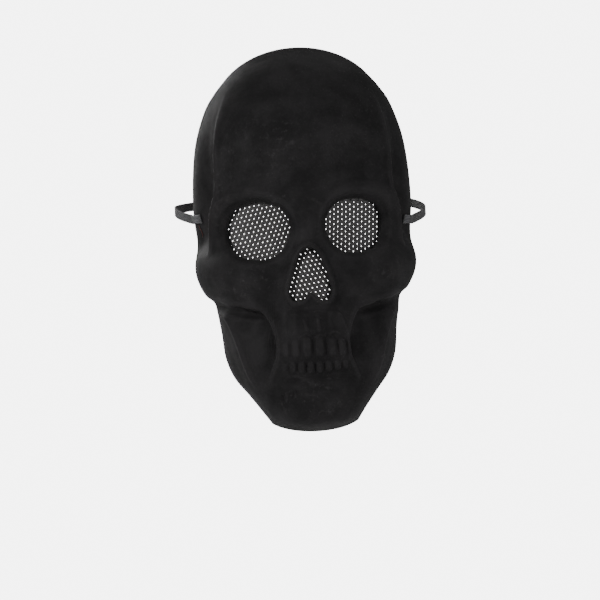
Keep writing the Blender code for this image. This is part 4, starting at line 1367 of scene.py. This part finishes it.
def length_along(points):
    """How far along a line each of its points lies."""
    steps = np.linalg.norm(np.diff(points, axis=0), axis=1)
    return np.concatenate([[0.0], np.cumsum(steps)])


def lap_line(height):
    """Points on the outside of the mask's side wall at one height, from the rim forward
    by the length of the strap's lap, with the way straight out of the wall at each."""
    share = np.linspace(1.0, LAP_FRONT_SHARE, LAP_POINTS)
    place = np.full_like(share, rim_place(height))
    wall = raised_face(place, share, outer_relief, 0.0)
    passed = length_along(wall)
    runs = np.linspace(STRAP_LAP_LENGTH, 0.0, STRAP_LAP_STEPS + 1)
    away = outward(place, share)
    points = np.column_stack([np.interp(runs, passed, wall[:, axis]) for axis in range(3)])
    ways = np.column_stack([np.interp(runs, passed, away[:, axis]) for axis in range(3)])
    return points, ways


def strap_half(height):
    """The strap's middle line from its end on the mask's right side to the back of the
    head, with the way to its upper edge and the way out of the head at each point."""
    low, low_way = lap_line(height - STRAP_WIDTH / 2)
    high, high_way = lap_line(height + STRAP_WIDTH / 2)
    lift = STRAP_CLEARANCE + STRAP_THICKNESS / 2
    low += low_way * lift
    high += high_way * lift
    middles = list((low + high) / 2)
    edges = list((high - low) / np.linalg.norm(high - low, axis=1, keepdims=True))
    ways = list(low_way + high_way)
    rim = middles[-1]
    route = [rim]
    for step in range(1, STRAP_SIDE_STEPS + 1):
        part = step / STRAP_SIDE_STEPS
        x = rim[0] + (HEAD_HALF_WIDTH - rim[0]) * math.sin(part * math.pi / 2)
        y = rim[1] + (EAR_BACK - rim[1]) * part
        route.append(np.array([x, y, height + STRAP_EAR_RISE * part]))
    ear_height = height + STRAP_EAR_RISE
    for step in range(1, STRAP_TURN_STEPS + 1):
        angle = step / STRAP_TURN_STEPS * math.pi / 2
        x = HEAD_HALF_WIDTH * math.cos(angle)
        y = EAR_BACK + (HEAD_BACK - EAR_BACK) * math.sin(angle)
        z = ear_height + (STRAP_BACK_HEIGHT - ear_height) * math.sin(angle)
        route.append(np.array([x, y, z]))
    for index in range(1, len(route)):
        following = route[index + 1] if index + 1 < len(route) else route[index] - (0.001, 0, 0)
        run = Vector(following - route[index - 1])
        away = Vector((run.y, -run.x, 0)).normalized()
        edge = away.cross(run).normalized()
        if edge.z < 0:
            edge = -edge
        middles.append(route[index])
        edges.append(np.array(edge))
        ways.append(np.array(away))
    ways = np.array(ways)
    return np.array(middles), np.array(edges), ways / np.linalg.norm(ways, axis=1, keepdims=True)


def band_section():
    """Points round the band's section, as shares of its width and thickness: over the
    cords on the outside from the lower edge to the upper, and back on the inside."""
    across = np.linspace(-0.5, 0.5, STRAP_CORDS * CORD_POINTS + 1)
    swell = 0.5 - CORD_DEPTH / 2 * np.abs(np.cos((across + 0.5) * STRAP_CORDS * math.pi))
    ends = 0.5 * np.sqrt(np.clip(1 - (np.abs(across) * 2) ** BAND_EDGE_POWER, BAND_EDGE_SHARE, 1))
    thick = np.minimum(swell, ends)
    outside = np.column_stack([across, thick])
    inside = np.column_stack([across[::-1], -thick[::-1]])
    return np.vstack([outside, inside])


def wrap_grid(name, sides, steps):
    """A grid to be wrapped into a tube, with the side and the step of each corner."""
    bpy.ops.object.select_all(action="DESELECT")
    bpy.ops.mesh.primitive_grid_add(x_subdivisions=sides, y_subdivisions=steps, size=1)
    tube = bpy.context.object
    tube.name = name
    flat = read_corners(tube.data)
    side = np.round((flat[:, 0] + 0.5) * sides).astype(int)
    step = np.round((flat[:, 1] + 0.5) * steps).astype(int)
    return tube, side, step


def close_tube(gap):
    """Joins the wrapped grid's long sides, caps its ends and turns its faces outwards."""
    bpy.ops.object.mode_set(mode="EDIT")
    bpy.ops.mesh.select_all(action="SELECT")
    bpy.ops.mesh.remove_doubles(threshold=gap)
    bpy.ops.mesh.fill_holes(sides=0)
    bpy.ops.mesh.normals_make_consistent(inside=False)
    bpy.ops.object.mode_set(mode="OBJECT")


def weave_strap(left, right):
    """The whole strap as one closed band, from the left end round the head to the right."""
    middles, edges, ways = (np.vstack([start, end[-2::-1]]) for start, end in zip(left, right))
    section = band_section()
    band, side, step = wrap_grid("woven_elastic_strap", len(section), len(middles) - 1)
    place = section[side % len(section)]
    points = middles[step] + edges[step] * (place[:, :1] * STRAP_WIDTH)
    points += ways[step] * (place[:, 1:] * STRAP_THICKNESS)
    move_corners(band.data, points)
    keep_values(band.data, "along", length_along(middles)[step] * 1000)
    keep_values(band.data, "across", place[:, 0] * STRAP_WIDTH * 1000)
    close_tube(1e-6)
    bpy.ops.object.shade_smooth_by_angle(angle=math.radians(50))
    return band


ELASTIC_DARK = (0.008, 0.008, 0.010, 1)
ELASTIC_PALE = (0.026, 0.026, 0.029, 1)


def elastic_material():
    """Dull black elastic: slanting stitches over lengthwise cords, slight fuzz, and painted shade
    between the cords.
    """
    material, tree, shader = new_material("black_woven_elastic")
    along = attribute(tree, "along")
    across = attribute(tree, "across")
    slant = calculate(tree, "ADD", calculate(tree, "MULTIPLY", along, STITCH_TURN), across)
    stitches = calculate(tree, "ABSOLUTE", calculate(tree, "SINE", slant))
    cord_turn = calculate(tree, "MULTIPLY", across, STRAP_CORDS * math.pi / (STRAP_WIDTH * 1000))
    cords = calculate(tree, "ABSOLUTE", calculate(tree, "SINE", cord_turn))
    # The weave is painted darker in the grooves between the cords: painted shade.
    weave = calculate(tree, "MULTIPLY", stitches, map_range(tree, cords, 0, 1, 1.0, 0.45))
    tree.links.new(blend(tree, weave, ELASTIC_DARK, ELASTIC_PALE), shader.inputs["Base Color"])
    tree.links.new(map_range(tree, weave, 0, 1, 0.85, 0.65), shader.inputs["Roughness"])
    shader.inputs["Specular IOR Level"].default_value = 0.3
    shader.inputs["Sheen Weight"].default_value = 0.4
    shader.inputs["Sheen Roughness"].default_value = 0.5
    tree.links.new(bump(tree, weave, 0.00025, 0.8), shader.inputs["Normal"])
    return material


left_half = [line * (-1, 1, 1) for line in strap_half(STRAP_LEFT_HEIGHT)]
right_half = strap_half(STRAP_RIGHT_HEIGHT)
strap = weave_strap(left_half, right_half)
strap.data.materials.append(elastic_material())
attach(strap, "root")
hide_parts("elastic_strap")


# Strap stitching. Each end of the strap is sewn through the side wall with five close
# bars of grey thread, and a short loose tail of dark russet thread hangs at the left one.
BAR_COUNT = 5
BAR_LENGTH = 0.0092
BAR_HALF_THICKNESS = 0.00036
BAR_SIDES = 8
BAR_STEPS = 10
BAR_FROM_END = 0.0014
BAR_SPREAD = 0.86
BAR_UNEVENNESS = 0.0004
BAR_ARCH = 0.00025
BAR_SINK = 0.0002
THREAD_SIDEWAYS = (0.0, 0.31, 0.95)
THREAD_FULLNESS = 1.3
THREAD_CLEARANCE = 0.0001
TAIL_HALF_THICKNESS = 0.00030
TAIL_STEPS = 24
GREY_DARK = (0.10, 0.10, 0.11, 1)
GREY_PALE = (0.30, 0.30, 0.32, 1)
RUSSET_DARK = (0.05, 0.016, 0.012, 1)
RUSSET_PALE = (0.15, 0.05, 0.04, 1)
TailPoint = namedtuple("TailPoint", "across up")
TAIL_LINE = (
    TailPoint(-0.0690, 0.0075),
    TailPoint(-0.0684, 0.0050),
    TailPoint(-0.0672, 0.0026),
    TailPoint(-0.0666, 0.0003),
    TailPoint(-0.0669, -0.0014),
)
TAIL_PARTS = (0.0, 0.25, 0.5, 0.78, 1.0)


def thread_tube(name, line, half_thickness):
    """A thread along a line of points, thin at both ends."""
    line = np.asarray(line)
    thread, side, step = wrap_grid(name, BAR_SIDES, len(line) - 1)
    run = np.gradient(line, axis=0)
    run /= np.linalg.norm(run, axis=1, keepdims=True)
    sideways = np.cross(run, THREAD_SIDEWAYS)
    sideways /= np.linalg.norm(sideways, axis=1, keepdims=True)
    other = np.cross(run, sideways)
    turn = side / BAR_SIDES * math.tau
    part = np.clip(step / (len(line) - 1), 0.01, 0.99)
    thick = half_thickness * np.clip(THREAD_FULLNESS * np.sqrt(np.sin(part * math.pi)), 0, 1)
    points = line[step] + sideways[step] * (np.cos(turn) * thick)[:, None]
    points += other[step] * (np.sin(turn) * thick)[:, None]
    move_corners(thread.data, points)
    close_tube(1e-7)
    bpy.ops.object.shade_smooth()
    return thread


def sew_bars(name, route):
    """The bars of thread over one end of the strap, as one piece."""
    along = length_along(route[0])
    part = np.linspace(0, 1, BAR_STEPS + 1)
    arch = STRAP_THICKNESS / 2 + BAR_ARCH * np.sin(part * math.pi)
    arch -= BAR_SINK * (2 * part - 1) ** 8
    bars = []
    for index in range(BAR_COUNT):
        across = ((index + 0.5) / BAR_COUNT - 0.5) * BAR_SPREAD * STRAP_WIDTH
        place = BAR_FROM_END + BAR_UNEVENNESS * math.sin(index * 2.3) + part * BAR_LENGTH
        middle, edge, way = (
            np.column_stack([np.interp(place, along, column[:, axis]) for axis in range(3)])
            for column in route
        )
        line = middle + edge * across + way * arch[:, None]
        bars.append(thread_tube(f"{name}_{index + 1}", line, BAR_HALF_THICKNESS))
    for bar in bars:
        bar.select_set(True)
    bpy.context.view_layer.objects.active = bars[0]
    bpy.ops.object.join()
    bars[0].name = name
    return bars[0]


def thread_material(name, dark, pale):
    """Twisted polyester sewing thread."""
    material, tree, shader = new_material(name)
    twist = add_node(tree, "ShaderNodeGroup", node_tree=plies).outputs["Plies"]
    tree.links.new(blend(tree, twist, dark, pale), shader.inputs["Base Color"])
    tree.links.new(map_range(tree, twist, 0, 1, 0.6, 0.45), shader.inputs["Roughness"])
    tree.links.new(bump(tree, twist, 0.00012, 0.8), shader.inputs["Normal"])
    return material


def hang_tail():
    """The loose tail, which leaves the lowest bar and lies down the side wall."""
    line = []
    part = np.linspace(0, 1, TAIL_STEPS + 1)
    across = np.interp(part, TAIL_PARTS, [point.across for point in TAIL_LINE])
    up = np.interp(part, TAIL_PARTS, [point.up for point in TAIL_LINE])
    wall = BVHTree.FromObject(shell, bpy.context.evaluated_depsgraph_get())
    for x, z in zip(across, up):
        place, normal = strike(wall, x, z)
        line.append(place + normal * (TAIL_HALF_THICKNESS + THREAD_CLEARANCE))
    return thread_tube("left_thread_tail", line, TAIL_HALF_THICKNESS)


grey_thread = thread_material("grey_sewing_thread", GREY_DARK, GREY_PALE)
for name, half in (("left_stitching", left_half), ("right_stitching", right_half)):
    bars = sew_bars(name, half)
    bars.data.materials.append(grey_thread)
    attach(bars, "root")
tail = hang_tail()
tail.data.materials.append(thread_material("russet_sewing_thread", RUSSET_DARK, RUSSET_PALE))
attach(tail, "root")
